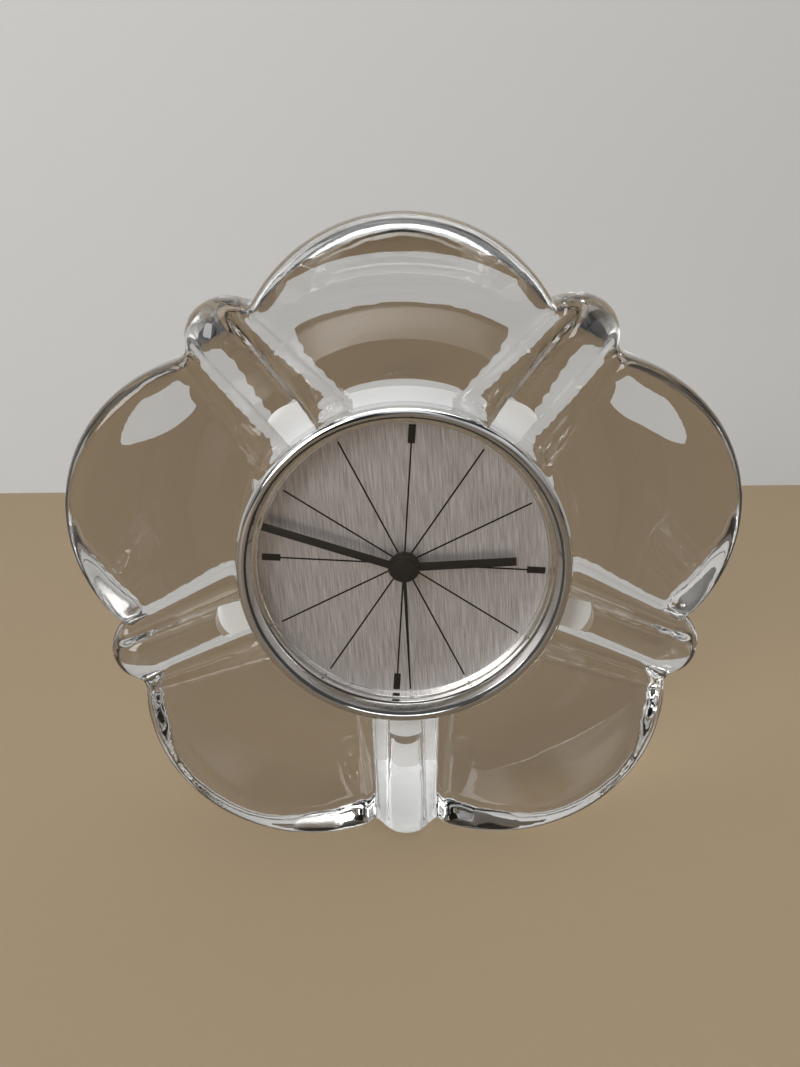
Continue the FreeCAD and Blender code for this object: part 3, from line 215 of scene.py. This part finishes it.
FLOWER_HEIGHT = DIAL_CENTRE.z
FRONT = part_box("crystal_body")[0].y
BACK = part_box("crystal_body")[1].y
RIB_LEAD = 0.0006
RIM = FRONT + RIB_LEAD
PETALS = 5
HALF_STEP = math.radians(180 / PETALS)
PETAL_REACH = 0.0374
PETAL_RADIUS = 0.0331
LOWER_PETAL_SINE = -0.5
LOWER_PETAL_REACH = 0.0362
LOWER_PETAL_RADIUS = 0.0352
RIM_ROUNDING = 0.0032
FACET = RIM + 0.007
FACET_RADIUS = 0.038
FACET_LOBE_RADIUS = 0.0062
FACET_LOBE_REACH = 0.0358
FACET_LOBE_STEP = 0.00003
DISH_RADIUS = 0.064
DISH_SLOPE = (FACET - RIM) / (DISH_RADIUS - FACET_RADIUS)
WING_RADIUS = 0.074
WING_DEPTH = 0.0085
HUB_RADIUS = 0.038
RIB_RADIUS = 0.0075
RIB_REACH = 0.0666
RIB_ROOT = 0.030
BORE_RADIUS = 0.0328
FOOT_HALF_WIDTH = 0.0082
FOOT_SETBACK = 0.012
GROOVE_RADIUS = 0.0040
GROOVE_END_RADIUS = 0.0018
GROOVE_SINK = 0.0008
GROOVE_ROOT = 0.034
GROOVE_END = 0.063
GROOVE_OFFSET = 0.0073
GROOVE_END_OFFSET = 0.0058
AIR_GAP = 0.00005
OVERRUN = 0.02
TABLE_SIZE = 0.4
VOXEL = 0.0008
FIRST_FLOW = 2
LAST_FLOW = 18
FINE_SEGMENTS = 256
SEGMENTS = 96


def take(thing):
    """Select one object alone and make it active."""
    let_go()
    thing.select_set(True)
    bpy.context.view_layer.objects.active = thing


def lathe(name, outline):
    """A sleeve extruded ring by ring along an outline of (radius, y), open at both ends."""
    let_go()
    radius, along = outline[0]
    bpy.ops.mesh.primitive_circle_add(
        vertices=FINE_SEGMENTS, radius=radius, location=(0, along, FLOWER_HEIGHT), rotation=FACING_FRONT)
    bpy.ops.object.transform_apply(location=True, rotation=True, scale=True)
    sleeve = bpy.context.object
    sleeve.name = name
    bpy.ops.object.mode_set(mode="EDIT")
    bpy.ops.mesh.select_all(action="SELECT")
    for next_radius, next_along in outline[1:]:
        bpy.ops.mesh.extrude_region_move(TRANSFORM_OT_translate={"value": (0, next_along - along, 0)})
        grow = next_radius / radius
        bpy.ops.transform.resize(value=(grow, 1, grow), center_override=(0, next_along, FLOWER_HEIGHT))
        radius, along = next_radius, next_along
    bpy.ops.object.mode_set(mode="OBJECT")
    return sleeve


def plug(name, outline):
    """A lathed tool whose open ends are filled, with its faces turned outwards."""
    tool = lathe(name, outline)
    take(tool)
    bpy.ops.object.mode_set(mode="EDIT")
    bpy.ops.mesh.select_all(action="DESELECT")
    bpy.ops.mesh.select_non_manifold()
    bpy.ops.mesh.edge_face_add()
    bpy.ops.mesh.select_all(action="SELECT")
    bpy.ops.mesh.normals_make_consistent(inside=False)
    bpy.ops.object.mode_set(mode="OBJECT")
    return tool


def carve(thing, tool, way):
    """Join, cut or keep what is common with a tool, which is then thrown away."""
    take(thing)
    change = thing.modifiers.new("carve", "BOOLEAN")
    change.operation = way
    change.solver = "EXACT"
    change.object = tool
    bpy.ops.object.modifier_apply(modifier="carve")
    bpy.data.objects.remove(tool)


def melt(thing, rounds):
    """Fuse overlapping shells into one skin and let it flow smooth, as fire-polishing does."""
    take(thing)
    skin = thing.modifiers.new("skin", "REMESH")
    skin.mode = "VOXEL"
    skin.voxel_size = VOXEL
    bpy.ops.object.modifier_apply(modifier="skin")
    flow = thing.modifiers.new("flow", "SMOOTH")
    flow.factor = 0.5
    flow.iterations = rounds
    bpy.ops.object.modifier_apply(modifier="flow")


def join(things):
    """Make one object of several."""
    let_go()
    for thing in things:
        thing.select_set(True)
    bpy.context.view_layer.objects.active = things[0]
    bpy.ops.object.join()
    return things[0]


def ways_from(direction):
    """The unit vectors outwards along a direction in the flower's plane, and square to it."""
    outward = Vector((math.cos(direction), 0, math.sin(direction)))
    sideways = Vector((-math.sin(direction), 0, math.cos(direction)))
    return outward, sideways


def petal(direction):
    """A thick round pad whose front rim is rounded over."""
    low = math.sin(direction) < LOWER_PETAL_SINE
    reach = LOWER_PETAL_REACH if low else PETAL_REACH
    radius = LOWER_PETAL_RADIUS if low else PETAL_RADIUS
    centre = (reach * math.cos(direction), (BACK + RIM) / 2, FLOWER_HEIGHT + reach * math.sin(direction))
    let_go()
    bpy.ops.mesh.primitive_cylinder_add(
        vertices=FINE_SEGMENTS, radius=radius, depth=BACK - RIM, rotation=FACING_FRONT, location=centre)
    bpy.ops.object.transform_apply(location=True, rotation=True, scale=True)
    pad = bpy.context.object
    take(pad)
    bpy.ops.object.mode_set(mode="EDIT")
    bpy.ops.mesh.select_mode(type="EDGE")
    bpy.ops.object.mode_set(mode="OBJECT")
    for edge in pad.data.edges:
        edge.select = all(abs(pad.data.vertices[end].co.y - RIM) < VOXEL for end in edge.vertices)
    bpy.ops.object.mode_set(mode="EDIT")
    bpy.ops.mesh.bevel(offset=RIM_ROUNDING, segments=8, affect="EDGES")
    bpy.ops.object.mode_set(mode="OBJECT")
    return pad


def rib(direction):
    """A half-round bar that rises outwards with the dish and ends in a ball."""
    outward, sideways = ways_from(direction)
    centre = Vector((0, 0, FLOWER_HEIGHT))
    end = RIB_REACH - RIB_RADIUS
    end_depth = FRONT + RIB_RADIUS
    root_depth = end_depth + DISH_SLOPE * (end - RIB_ROOT)
    start = centre + outward * RIB_ROOT + Vector((0, root_depth, 0))
    finish = centre + outward * end + Vector((0, end_depth, 0))
    let_go()
    bpy.ops.mesh.primitive_cylinder_add(
        vertices=SEGMENTS, radius=RIB_RADIUS, depth=(finish - start).length, location=(start + finish) / 2,
        rotation=(finish - start).to_track_quat("Z", "Y").to_euler())
    bar = bpy.context.object
    let_go()
    bpy.ops.mesh.primitive_uv_sphere_add(segments=64, ring_count=32, radius=RIB_RADIUS, location=finish)
    ball = bpy.context.object
    let_go()
    bpy.ops.mesh.primitive_cylinder_add(
        vertices=SEGMENTS, radius=RIB_RADIUS, depth=BACK - finish.y, rotation=FACING_FRONT,
        location=(finish.x, (BACK + finish.y) / 2, finish.z))
    post = bpy.context.object
    let_go()
    bpy.ops.mesh.primitive_cube_add(size=1)
    web = bpy.context.object
    corners = []
    for distance, depth in ((RIB_ROOT, root_depth), (end, end_depth)):
        for side in (-1, 1):
            base = centre + outward * distance + sideways * side * RIB_RADIUS
            corners.append((base.x, depth, base.z))
            corners.append((base.x, BACK, base.z))
    order = {(-1, -1, -1): 0, (-1, -1, 1): 1, (-1, 1, -1): 2, (-1, 1, 1): 3,
             (1, -1, -1): 4, (1, -1, 1): 5, (1, 1, -1): 6, (1, 1, 1): 7}
    for vertex in web.data.vertices:
        key = tuple(1 if value > 0 else -1 for value in vertex.co)
        vertex.co = corners[order[key]]
    take(web)
    bpy.ops.object.mode_set(mode="EDIT")
    bpy.ops.mesh.select_all(action="SELECT")
    bpy.ops.mesh.normals_make_consistent(inside=False)
    bpy.ops.object.mode_set(mode="OBJECT")
    return [bar, ball, post, web]


def groove(direction, side):
    """A cone laid along the dish beside a rib, which narrows outwards."""
    outward, sideways = ways_from(direction)
    ends = []
    for distance, offset in ((GROOVE_ROOT, GROOVE_OFFSET), (GROOVE_END, GROOVE_END_OFFSET)):
        depth = RIM + GROOVE_SINK + DISH_SLOPE * (DISH_RADIUS - distance)
        ends.append(Vector((0, depth, FLOWER_HEIGHT)) + outward * distance + sideways * side * offset)
    let_go()
    bpy.ops.mesh.primitive_cone_add(
        vertices=64, radius1=GROOVE_RADIUS, radius2=GROOVE_END_RADIUS, depth=(ends[1] - ends[0]).length,
        location=(ends[0] + ends[1]) / 2,
        rotation=(ends[1] - ends[0]).to_track_quat("Z", "Y").to_euler())
    bpy.ops.object.transform_apply(location=True, rotation=True, scale=True)
    return bpy.context.object


directions = [math.radians(90 + 360 / PETALS * index) for index in range(PETALS)]
rib_directions = [way + HALF_STEP for way in directions]
flower = join([petal(way) for way in directions])
flower.name = "crystal_flower"
melt(flower, FIRST_FLOW)
dish = plug("dish", [(FACET_RADIUS, FACET), (DISH_RADIUS + OVERRUN, RIM - OVERRUN * DISH_SLOPE)])
carve(flower, dish, "DIFFERENCE")
members = [flower]
for way in rib_directions:
    members += rib(way)
flower = join(members)
melt(flower, FIRST_FLOW)
turned_back = plug("turned_back", [
    (WING_RADIUS, FRONT - OVERRUN), (WING_RADIUS, RIM + WING_DEPTH), (HUB_RADIUS, BACK)])
carve(flower, turned_back, "INTERSECT")
carve(flower, join([groove(way, side) for way in rib_directions for side in (-1, 1)]), "DIFFERENCE")
let_go()
bpy.ops.mesh.primitive_cube_add(size=1)
foot = bpy.context.object
foot_front = RIM + FOOT_SETBACK
foot_top = FLOWER_HEIGHT - BORE_RADIUS
foot.location = (0, (foot_front + BACK) / 2, foot_top / 2 - OVERRUN / 2)
foot.scale = (2 * FOOT_HALF_WIDTH, BACK - foot_front, foot_top + OVERRUN)
bpy.ops.object.transform_apply(location=True, rotation=True, scale=True)
flower = join([flower, foot])
melt(flower, LAST_FLOW)

carve(flower, plug("facet_spot", [(FACET_RADIUS, FACET), (FACET_RADIUS, FACET - OVERRUN)]), "DIFFERENCE")
lobes = [ways_from(way)[0] * FACET_LOBE_REACH for way in rib_directions]
for lobe in lobes:
    let_go()
    bpy.ops.mesh.primitive_cylinder_add(
        vertices=SEGMENTS, radius=FACET_LOBE_RADIUS, depth=OVERRUN, rotation=FACING_FRONT,
        location=Vector((0, FACET + FACET_LOBE_STEP - OVERRUN / 2, FLOWER_HEIGHT)) + lobe)
    bpy.ops.object.transform_apply(location=True, rotation=True, scale=True)
    carve(flower, bpy.context.object, "DIFFERENCE")
bore = plug("bore", [(BORE_RADIUS, FRONT - OVERRUN), (BORE_RADIUS, BACK + OVERRUN)])
carve(flower, bore, "DIFFERENCE")
let_go()
bpy.ops.mesh.primitive_cube_add(size=1)
table = bpy.context.object
table.location = (0, 0, AIR_GAP - OVERRUN)
table.scale = (TABLE_SIZE, TABLE_SIZE, 2 * OVERRUN)
bpy.ops.object.transform_apply(location=True, rotation=True, scale=True)
carve(flower, table, "DIFFERENCE")
take(flower)
bpy.ops.object.shade_smooth_by_angle(angle=math.radians(35))

# Clear lead crystal, with the faint ripples that the pressing leaves under the fire polish
CRYSTAL_IOR = 1.54
crystal, nodes, links, shader = new_finish("clear_crystal")
place = nodes.new("ShaderNodeTexCoord")
ripples = tune(nodes.new("ShaderNodeTexNoise"), {"Scale": 50, "Detail": 1, "Distortion": 0.4})
bump = tune(nodes.new("ShaderNodeBump"), {"Strength": 1.0, "Distance": 0.00006})
links.new(place.outputs["Object"], ripples.inputs["Vector"])
links.new(ripples.outputs["Fac"], bump.inputs["Height"])
links.new(bump.outputs["Normal"], shader.inputs["Normal"])
shader.inputs["Base Color"].default_value = (0.96, 0.96, 0.95, 1.0)
shader.inputs["Roughness"].default_value = 0.0
shader.inputs["IOR"].default_value = CRYSTAL_IOR
shader.inputs["Transmission Weight"].default_value = 1.0
flower.data.materials.clear()
flower.data.materials.append(crystal)

# The facet is ground and left satin at the five lobes and over the top of the bezel, and so is the
# back of the foot, which shows through the rib in front of it as a white strip
GROUND_ABOVE = 0.029
ON_FACET = 0.0001
ON_BACK = 0.0002
FACES_FRONT = 0.9
satin_ground, nodes, links, shader = new_finish("ground_crystal")
shader.inputs["Base Color"].default_value = (0.93, 0.95, 0.95, 1.0)
shader.inputs["IOR"].default_value = CRYSTAL_IOR
shader.inputs["Transmission Weight"].default_value = 0.35
place = nodes.new("ShaderNodeTexCoord")
pits = tune(nodes.new("ShaderNodeTexNoise"), {"Scale": 1500})
polish = tune(nodes.new("ShaderNodeMapRange"), {"To Min": 0.35, "To Max": 0.55})
links.new(place.outputs["Object"], pits.inputs["Vector"])
links.new(pits.outputs["Fac"], polish.inputs["Value"])
links.new(polish.outputs["Result"], shader.inputs["Roughness"])
flower.data.materials.append(satin_ground)


def is_ground(middle, normal):
    """Whether a face of the flower, given by its middle and normal, is one that is left satin."""
    if abs(middle.x) < FOOT_HALF_WIDTH and middle.z < foot_top and middle.y > BACK - ON_BACK:
        return True
    if abs(middle.y - FACET) > ON_FACET or abs(normal.y) < FACES_FRONT:
        return False
    from_axis = Vector((middle.x, 0, middle.z - FLOWER_HEIGHT))
    return from_axis.z > GROUND_ABOVE or min((from_axis - lobe).length for lobe in lobes) < FACET_LOBE_RADIUS


for face in flower.data.polygons:
    if is_ground(face.center, face.normal):
        face.material_index = 1
flower.visible_shadow = False
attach(flower, "crystal")
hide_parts("crystal_body")


# Bezel.
# A brass ring, turned, polished and chromed. Its roll stands in front of the crystal's ground facet,
# a thin lip holds the glass from the front, and a short sleeve behind centres it in the bore.

GRAIN_LOW = 0.3
GRAIN_HIGH = 0.7
SMOOTHEST = 0.8
ROUGHEST = 1.25
MILLIMETRES_PER_METRE = 1000


def wear(name, colour, roughness, grain, spread, metallic=0.0, relief=0.0, stretch=(1, 1, 1), shine=0.5):
    """A finish whose tone, roughness and surface vary with a grain in object space."""
    made, nodes, links, shader = new_finish(name)
    shader.inputs["Metallic"].default_value = metallic
    shader.inputs["Specular IOR Level"].default_value = shine
    place = nodes.new("ShaderNodeTexCoord")
    lay = tune(nodes.new("ShaderNodeMapping"), {"Scale": stretch})
    grains = tune(nodes.new("ShaderNodeTexNoise"), {"Scale": grain, "Detail": 4})
    links.new(place.outputs["Object"], lay.inputs["Vector"])
    links.new(lay.outputs["Vector"], grains.inputs["Vector"])
    tone = nodes.new("ShaderNodeValToRGB")
    tint(tone, (
        (GRAIN_LOW, [c * (1 - spread) for c in colour] + [1]),
        (GRAIN_HIGH, [min(1, c * (1 + spread)) for c in colour] + [1])))
    links.new(grains.outputs["Fac"], tone.inputs["Fac"])
    links.new(tone.outputs["Color"], shader.inputs["Base Color"])
    polish = tune(nodes.new("ShaderNodeMapRange"), {
        "From Min": GRAIN_LOW, "From Max": GRAIN_HIGH,
        "To Min": roughness * SMOOTHEST, "To Max": min(1, roughness * ROUGHEST)})
    links.new(grains.outputs["Fac"], polish.inputs["Value"])
    links.new(polish.outputs["Result"], shader.inputs["Roughness"])
    if relief:
        bump = tune(nodes.new("ShaderNodeBump"), {"Strength": 1.0, "Distance": relief})
        links.new(grains.outputs["Fac"], bump.inputs["Height"])
        links.new(bump.outputs["Normal"], shader.inputs["Normal"])
    return made


def coat(thing, made):
    """Give a piece one finish."""
    thing.data.materials.clear()
    thing.data.materials.append(made)


def turned_ring(name, outline, made, node):
    """A closed ring of the insert, turned on the dial's axis from an outline of (radius, y) in mm."""
    ring = lathe(name, [
        (radius / MILLIMETRES_PER_METRE, along / MILLIMETRES_PER_METRE) for radius, along in outline])
    take(ring)
    bpy.ops.object.mode_set(mode="EDIT")
    bpy.ops.mesh.select_all(action="DESELECT")
    bpy.ops.object.mode_set(mode="OBJECT")
    last_loop = len(ring.data.vertices) - FINE_SEGMENTS
    for edge in ring.data.edges:
        edge.select = max(edge.vertices) < FINE_SEGMENTS or min(edge.vertices) >= last_loop
    bpy.ops.object.mode_set(mode="EDIT")
    bpy.ops.mesh.bridge_edge_loops()
    bpy.ops.mesh.select_all(action="SELECT")
    bpy.ops.mesh.normals_make_consistent(inside=False)
    bpy.ops.object.mode_set(mode="OBJECT")
    take(ring)
    bpy.ops.object.shade_smooth_by_angle(angle=math.radians(25))
    coat(ring, made)
    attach(ring, "insert")
    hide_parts(node)


chrome = wear("bezel_chrome", (0.80, 0.80, 0.79), metallic=1.0, roughness=0.07, grain=900, spread=0.02)
turned_ring("bezel_ring", [
    (31.95, -8.5), (31.95, -12.2), (33.55, -12.2), (33.55, -16.4), (33.0, -16.4), (33.0, -16.8),
    (33.08, -16.93), (33.25, -17.0), (33.55, -16.99), (33.9, -16.9), (34.25, -16.72), (34.55, -16.45),
    (34.8, -16.1), (34.94, -15.7), (35.0, -15.2), (35.0, -11.35), (34.9, -11.1), (34.7, -11.0),
    (32.45, -11.0), (32.45, -8.5)], chrome, "bezel")


# Glass and its seal.
# A flat disc of clear mineral glass, pressed into the bezel against a thin black rubber ring.


def dress(made, *nodes):
    """Give CAD nodes that stay as they are one finish."""
    for node in nodes:
        coat(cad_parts[node], made)


seal = wear("glass_seal_rubber", (0.05, 0.05, 0.05), roughness=0.6, grain=2500, spread=0.2, relief=0.00002)
dress(seal, "glass_gasket")
pane, nodes, links, shader = new_finish("mineral_glass")
shader.inputs["Base Color"].default_value = (1.0, 1.0, 1.0, 1.0)
shader.inputs["Roughness"].default_value = 0.0
shader.inputs["IOR"].default_value = 1.5
shader.inputs["Specular IOR Level"].default_value = 0.2
shader.inputs["Transmission Weight"].default_value = 1.0
smears = tune(nodes.new("ShaderNodeTexNoise"), {"Scale": 60, "Detail": 3})
place = nodes.new("ShaderNodeTexCoord")
film = tune(
    nodes.new("ShaderNodeMapRange"), {"From Min": 0.55, "From Max": 0.85, "To Min": 0.0, "To Max": 0.02})
links.new(place.outputs["Object"], smears.inputs["Vector"])
links.new(smears.outputs["Fac"], film.inputs["Value"])
links.new(film.outputs["Result"], shader.inputs["Roughness"])
dress(pane, "clock_glass")
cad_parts["clock_glass"].visible_shadow = False


# Reflector ring.
# A spun aluminium ring between the glass and the dial, polished inside. Two fine steps near the
# dial show as thin bright rings, and the wall above them mirrors the ends of the hour marks.

mirror = wear("reflector_polish", (0.74, 0.73, 0.70), metallic=1.0, roughness=0.13, grain=1400, spread=0.03)
turned_ring("reflector_steps", [
    (33.45, -15.0), (33.0, -15.0), (32.86, -14.92), (32.1, -13.35), (31.98, -13.2), (31.55, -13.2),
    (31.45, -13.1), (31.3, -12.0), (31.22, -11.92), (30.98, -11.92), (30.9, -11.82), (30.72, -10.35),
    (30.6, -10.25), (30.6, -10.0), (31.25, -10.0), (31.25, -12.2), (33.45, -12.2)], mirror, "reflector_ring")


# Dial.
# A thin aluminium disc, brushed in straight vertical lines and clear lacquered. The hour lines and
# the four bars are printed on it in black, and the rest of its face is bare.

INSERT_TURN = math.radians(3.65)
STREAK_SHARE = 0.08
BRUSHING = 0.93
brushed, nodes, links, shader = new_finish("brushed_dial")
shader.inputs["Metallic"].default_value = 0.8
shader.inputs["Anisotropic"].default_value = 0.7
place = nodes.new("ShaderNodeTexCoord")
upright = tune(nodes.new("ShaderNodeMapping"), {"Rotation": (0, INSERT_TURN, 0)})
lay = tune(nodes.new("ShaderNodeMapping"), {"Scale": (1.0, 1.0, 0.035)})
strokes = tune(nodes.new("ShaderNodeTexNoise"), {"Scale": 3600, "Detail": 3, "Roughness": 0.7})
streaks = tune(nodes.new("ShaderNodeTexNoise"), {"Scale": 700, "Detail": 2})
links.new(place.outputs["Object"], upright.inputs["Vector"])
links.new(upright.outputs["Vector"], lay.inputs["Vector"])
links.new(lay.outputs["Vector"], strokes.inputs["Vector"])
links.new(lay.outputs["Vector"], streaks.inputs["Vector"])
both = tune(nodes.new("ShaderNodeMath"), {1: STREAK_SHARE})
both.operation = "MULTIPLY_ADD"
links.new(streaks.outputs["Fac"], both.inputs[0])
links.new(strokes.outputs["Fac"], both.inputs[2])
evened = tune(nodes.new("ShaderNodeMath"), {1: BRUSHING})
evened.operation = "MULTIPLY"
tone = nodes.new("ShaderNodeValToRGB")
tint(tone, ((0.36, (0.40, 0.385, 0.385, 1)), (0.64, (0.76, 0.735, 0.735, 1))))
links.new(both.outputs["Value"], evened.inputs[0])
links.new(evened.outputs["Value"], tone.inputs["Fac"])
links.new(tone.outputs["Color"], shader.inputs["Base Color"])
polish = tune(
    nodes.new("ShaderNodeMapRange"), {"From Min": 0.35, "From Max": 0.65, "To Min": 0.30, "To Max": 0.44})
links.new(evened.outputs["Value"], polish.inputs["Value"])
links.new(polish.outputs["Result"], shader.inputs["Roughness"])
bump = tune(nodes.new("ShaderNodeBump"), {"Strength": 1.0, "Distance": 0.000012})
links.new(evened.outputs["Value"], bump.inputs["Height"])
links.new(bump.outputs["Normal"], shader.inputs["Normal"])
dress(brushed, "dial")
ink = wear("black_dial_print", (0.002, 0.002, 0.002), roughness=0.6, grain=3000, spread=0.3, shine=0.05)
dress(ink, "dial_lines", "dial_bars")


# Hands.
# Three stamped aluminium hands, lacquered matt black. Each has a round boss pressed on its own
# tube or pin, so that three discs, each smaller than the one behind it, stand on the dial's axis.

SECONDS = 29
MINUTES = 47 + SECONDS / 60
HOURS = 2 + MINUTES / 60
DEGREES_PER_HOUR = 30
DEGREES_PER_MINUTE = 6
BOSS_THICKNESS = 0.0006
BAR_THICKNESS = 0.0003
BAR_SOFTENING = 0.00007
BOSS_SOFTENING = 0.00014
lacquer = wear(
    "matt_black_lacquer", (0.003, 0.003, 0.003), roughness=0.5, grain=4000, spread=0.25, relief=0.000002,
    shine=0.1)


def hand(name, degrees, tip, tail, width, point, boss, node, body):
    """A flat bar with softened edges on a turned boss, swung to its place on the dial."""
    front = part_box(node)[0].y
    let_go()
    bpy.ops.mesh.primitive_cube_add(size=1, location=(0, front + BAR_THICKNESS / 2, (tip - tail) / 2))
    bar = bpy.context.object
    bar.name = name
    bar.scale = (width, BAR_THICKNESS, tip + tail)
    bpy.ops.object.transform_apply(location=True, rotation=True, scale=True)
    for vertex in bar.data.vertices:
        if vertex.co.z > 0:
            vertex.co.x *= point / width
    bpy.ops.object.mode_set(mode="EDIT")
    bpy.ops.mesh.select_all(action="SELECT")
    bpy.ops.mesh.bevel(offset=BAR_SOFTENING, segments=2, affect="EDGES")
    bpy.ops.object.mode_set(mode="OBJECT")
    let_go()
    bpy.ops.mesh.primitive_cylinder_add(
        vertices=SEGMENTS, radius=boss, depth=BOSS_THICKNESS, rotation=FACING_FRONT,
        location=(0, front + BOSS_THICKNESS / 2, 0))
    bpy.ops.object.transform_apply(location=True, rotation=True, scale=True)
    disc = bpy.context.object
    bpy.ops.object.mode_set(mode="EDIT")
    bpy.ops.mesh.select_mode(type="EDGE")
    bpy.ops.mesh.select_all(action="DESELECT")
    bpy.ops.mesh.edges_select_sharp(sharpness=math.radians(60))
    bpy.ops.mesh.bevel(offset=BOSS_SOFTENING, segments=3, affect="EDGES")
    bpy.ops.object.mode_set(mode="OBJECT")
    carve(bar, disc, "UNION")
    bar.rotation_euler = (0, math.radians(degrees) + INSERT_TURN, 0)
    bar.location = (0, 0, FLOWER_HEIGHT)
    take(bar)
    bpy.ops.object.transform_apply(location=True, rotation=True, scale=True)
    bpy.ops.object.shade_smooth_by_angle(angle=math.radians(30))
    coat(bar, lacquer)
    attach(bar, body)
    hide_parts(node)


hand(
    "hour_bar", DEGREES_PER_HOUR * HOURS, tip=0.0236, tail=0.0, width=0.00185, point=0.00185,
    boss=0.0034, node="hour_hand", body="hour_group")
hand(
    "minute_bar", DEGREES_PER_MINUTE * MINUTES, tip=0.0307, tail=0.0, width=0.0017, point=0.0017,
    boss=0.0029, node="minute_hand", body="minute_group")
hand(
    "second_needle", DEGREES_PER_MINUTE * SECONDS, tip=0.0276, tail=0.0044, width=0.0009, point=0.00035,
    boss=0.00245, node="second_hand", body="second_group")


# Case of the insert.
# A deep-drawn aluminium cup, satin finished, that holds the movement and pushes into the crystal's
# bore. A black rubber ring in its groove grips the bore. Four small steel screws close it.

satin = wear(
    "satin_case", (0.66, 0.65, 0.63), metallic=1.0, roughness=0.34, grain=1500, spread=0.06, relief=0.000004)
rubber = wear("bore_rubber", (0.05, 0.05, 0.05), roughness=0.7, grain=1800, spread=0.2, relief=0.00003)
screws = wear("screw_steel", (0.58, 0.58, 0.58), metallic=1.0, roughness=0.25, grain=2200, spread=0.06)
dress(satin, "case_cup")
dress(rubber, "bore_gasket")
dress(screws, "case_screws")


# Setting knob and battery cover.
# Both are moulded in black plastic with a fine spark-eroded grain. The knob is ribbed for the
# finger tips, and the cover snaps over the battery's opening and has three grip ribs.

moulded = wear(
    "black_back_plastic", (0.045, 0.045, 0.048), roughness=0.48, grain=2800, spread=0.2, relief=0.00002)
dress(moulded, "set_knob", "battery_cover")


# Plates and battery tray.
# The movement is held between two plates of glass-filled black plastic on moulded pillars, and the
# tray for the cell is moulded of the same. Steel screws hold the plates together.

plate = wear(
    "plate_plastic", (0.10, 0.10, 0.11), roughness=0.5, grain=1200, stretch=(1, 1, 4), spread=0.15,
    relief=0.00001)
dress(plate, "front_plate", "back_plate", "battery_tray")
dress(screws, "plate_screws")


# Wheels and pinions.
# All the wheels are moulded in pale acetal with their pinions in one piece. The moulding leaves a
# faint sheen and a slight unevenness in tone.

acetal = wear("wheel_acetal", (0.84, 0.83, 0.78), roughness=0.38, grain=700, spread=0.05, relief=0.000004)
dress(
    acetal, "cannon_pinion", "hour_wheel", "motion_wheel", "centre_wheel", "third_wheel",
    "intermediate_wheel", "seconds_wheel", "rotor_pinion")


# Motor.
# A stepping motor: a magnet on the rotor's pinion turns in a stator of soft iron sheet, which
# a coil of enamelled copper wire on a moulded bobbin magnetises once a second.

iron = wear(
    "stator_iron", (0.48, 0.48, 0.50), metallic=1.0, roughness=0.32, grain=1600, stretch=(1, 1, 6),
    spread=0.08, relief=0.000003)
magnet = wear(
    "sintered_magnet", (0.09, 0.09, 0.10), metallic=0.6, roughness=0.55, grain=2600, spread=0.2,
    relief=0.00001)
bobbin = wear("bobbin_plastic", (0.86, 0.83, 0.72), roughness=0.42, grain=900, spread=0.05, relief=0.000004)
wire = wear(
    "copper_wire", (0.72, 0.33, 0.15), metallic=1.0, roughness=0.28, grain=2400, stretch=(12, 1, 1),
    spread=0.25, relief=0.00003)
dress(iron, "stator")
dress(magnet, "rotor_magnet")
dress(bobbin, "coil_bobbin")
dress(wire, "coil_winding")


# Circuit board.
# A small board of green laminate with the clock's chip under a drop of black resin and the quartz
# crystal in its drawn metal can.

laminate = wear(
    "green_laminate", (0.06, 0.25, 0.11), roughness=0.3, grain=1300, stretch=(8, 1, 8), spread=0.12,
    relief=0.000005)
resin = wear("chip_resin", (0.025, 0.025, 0.026), roughness=0.5, grain=3000, spread=0.2, relief=0.00001)
can = wear("quartz_can_metal", (0.74, 0.74, 0.73), metallic=1.0, roughness=0.2, grain=1800, spread=0.05)
dress(laminate, "circuit_board")
dress(resin, "clock_chip")
dress(can, "quartz_can")


# Battery and its contacts.
# One small round cell in a plain lacquered jacket with no label, held in the tray between two
# sprung contacts of nickelled steel strip.

jacket = wear(
    "cell_jacket", (0.14, 0.15, 0.18), metallic=0.7, roughness=0.35, grain=500, stretch=(1, 6, 6),
    spread=0.1)
spring = wear(
    "nickelled_strip", (0.76, 0.75, 0.70), metallic=1.0, roughness=0.24, grain=1500, stretch=(1, 1, 6),
    spread=0.05)
dress(jacket, "battery")
dress(spring, "contact_plus", "contact_minus")
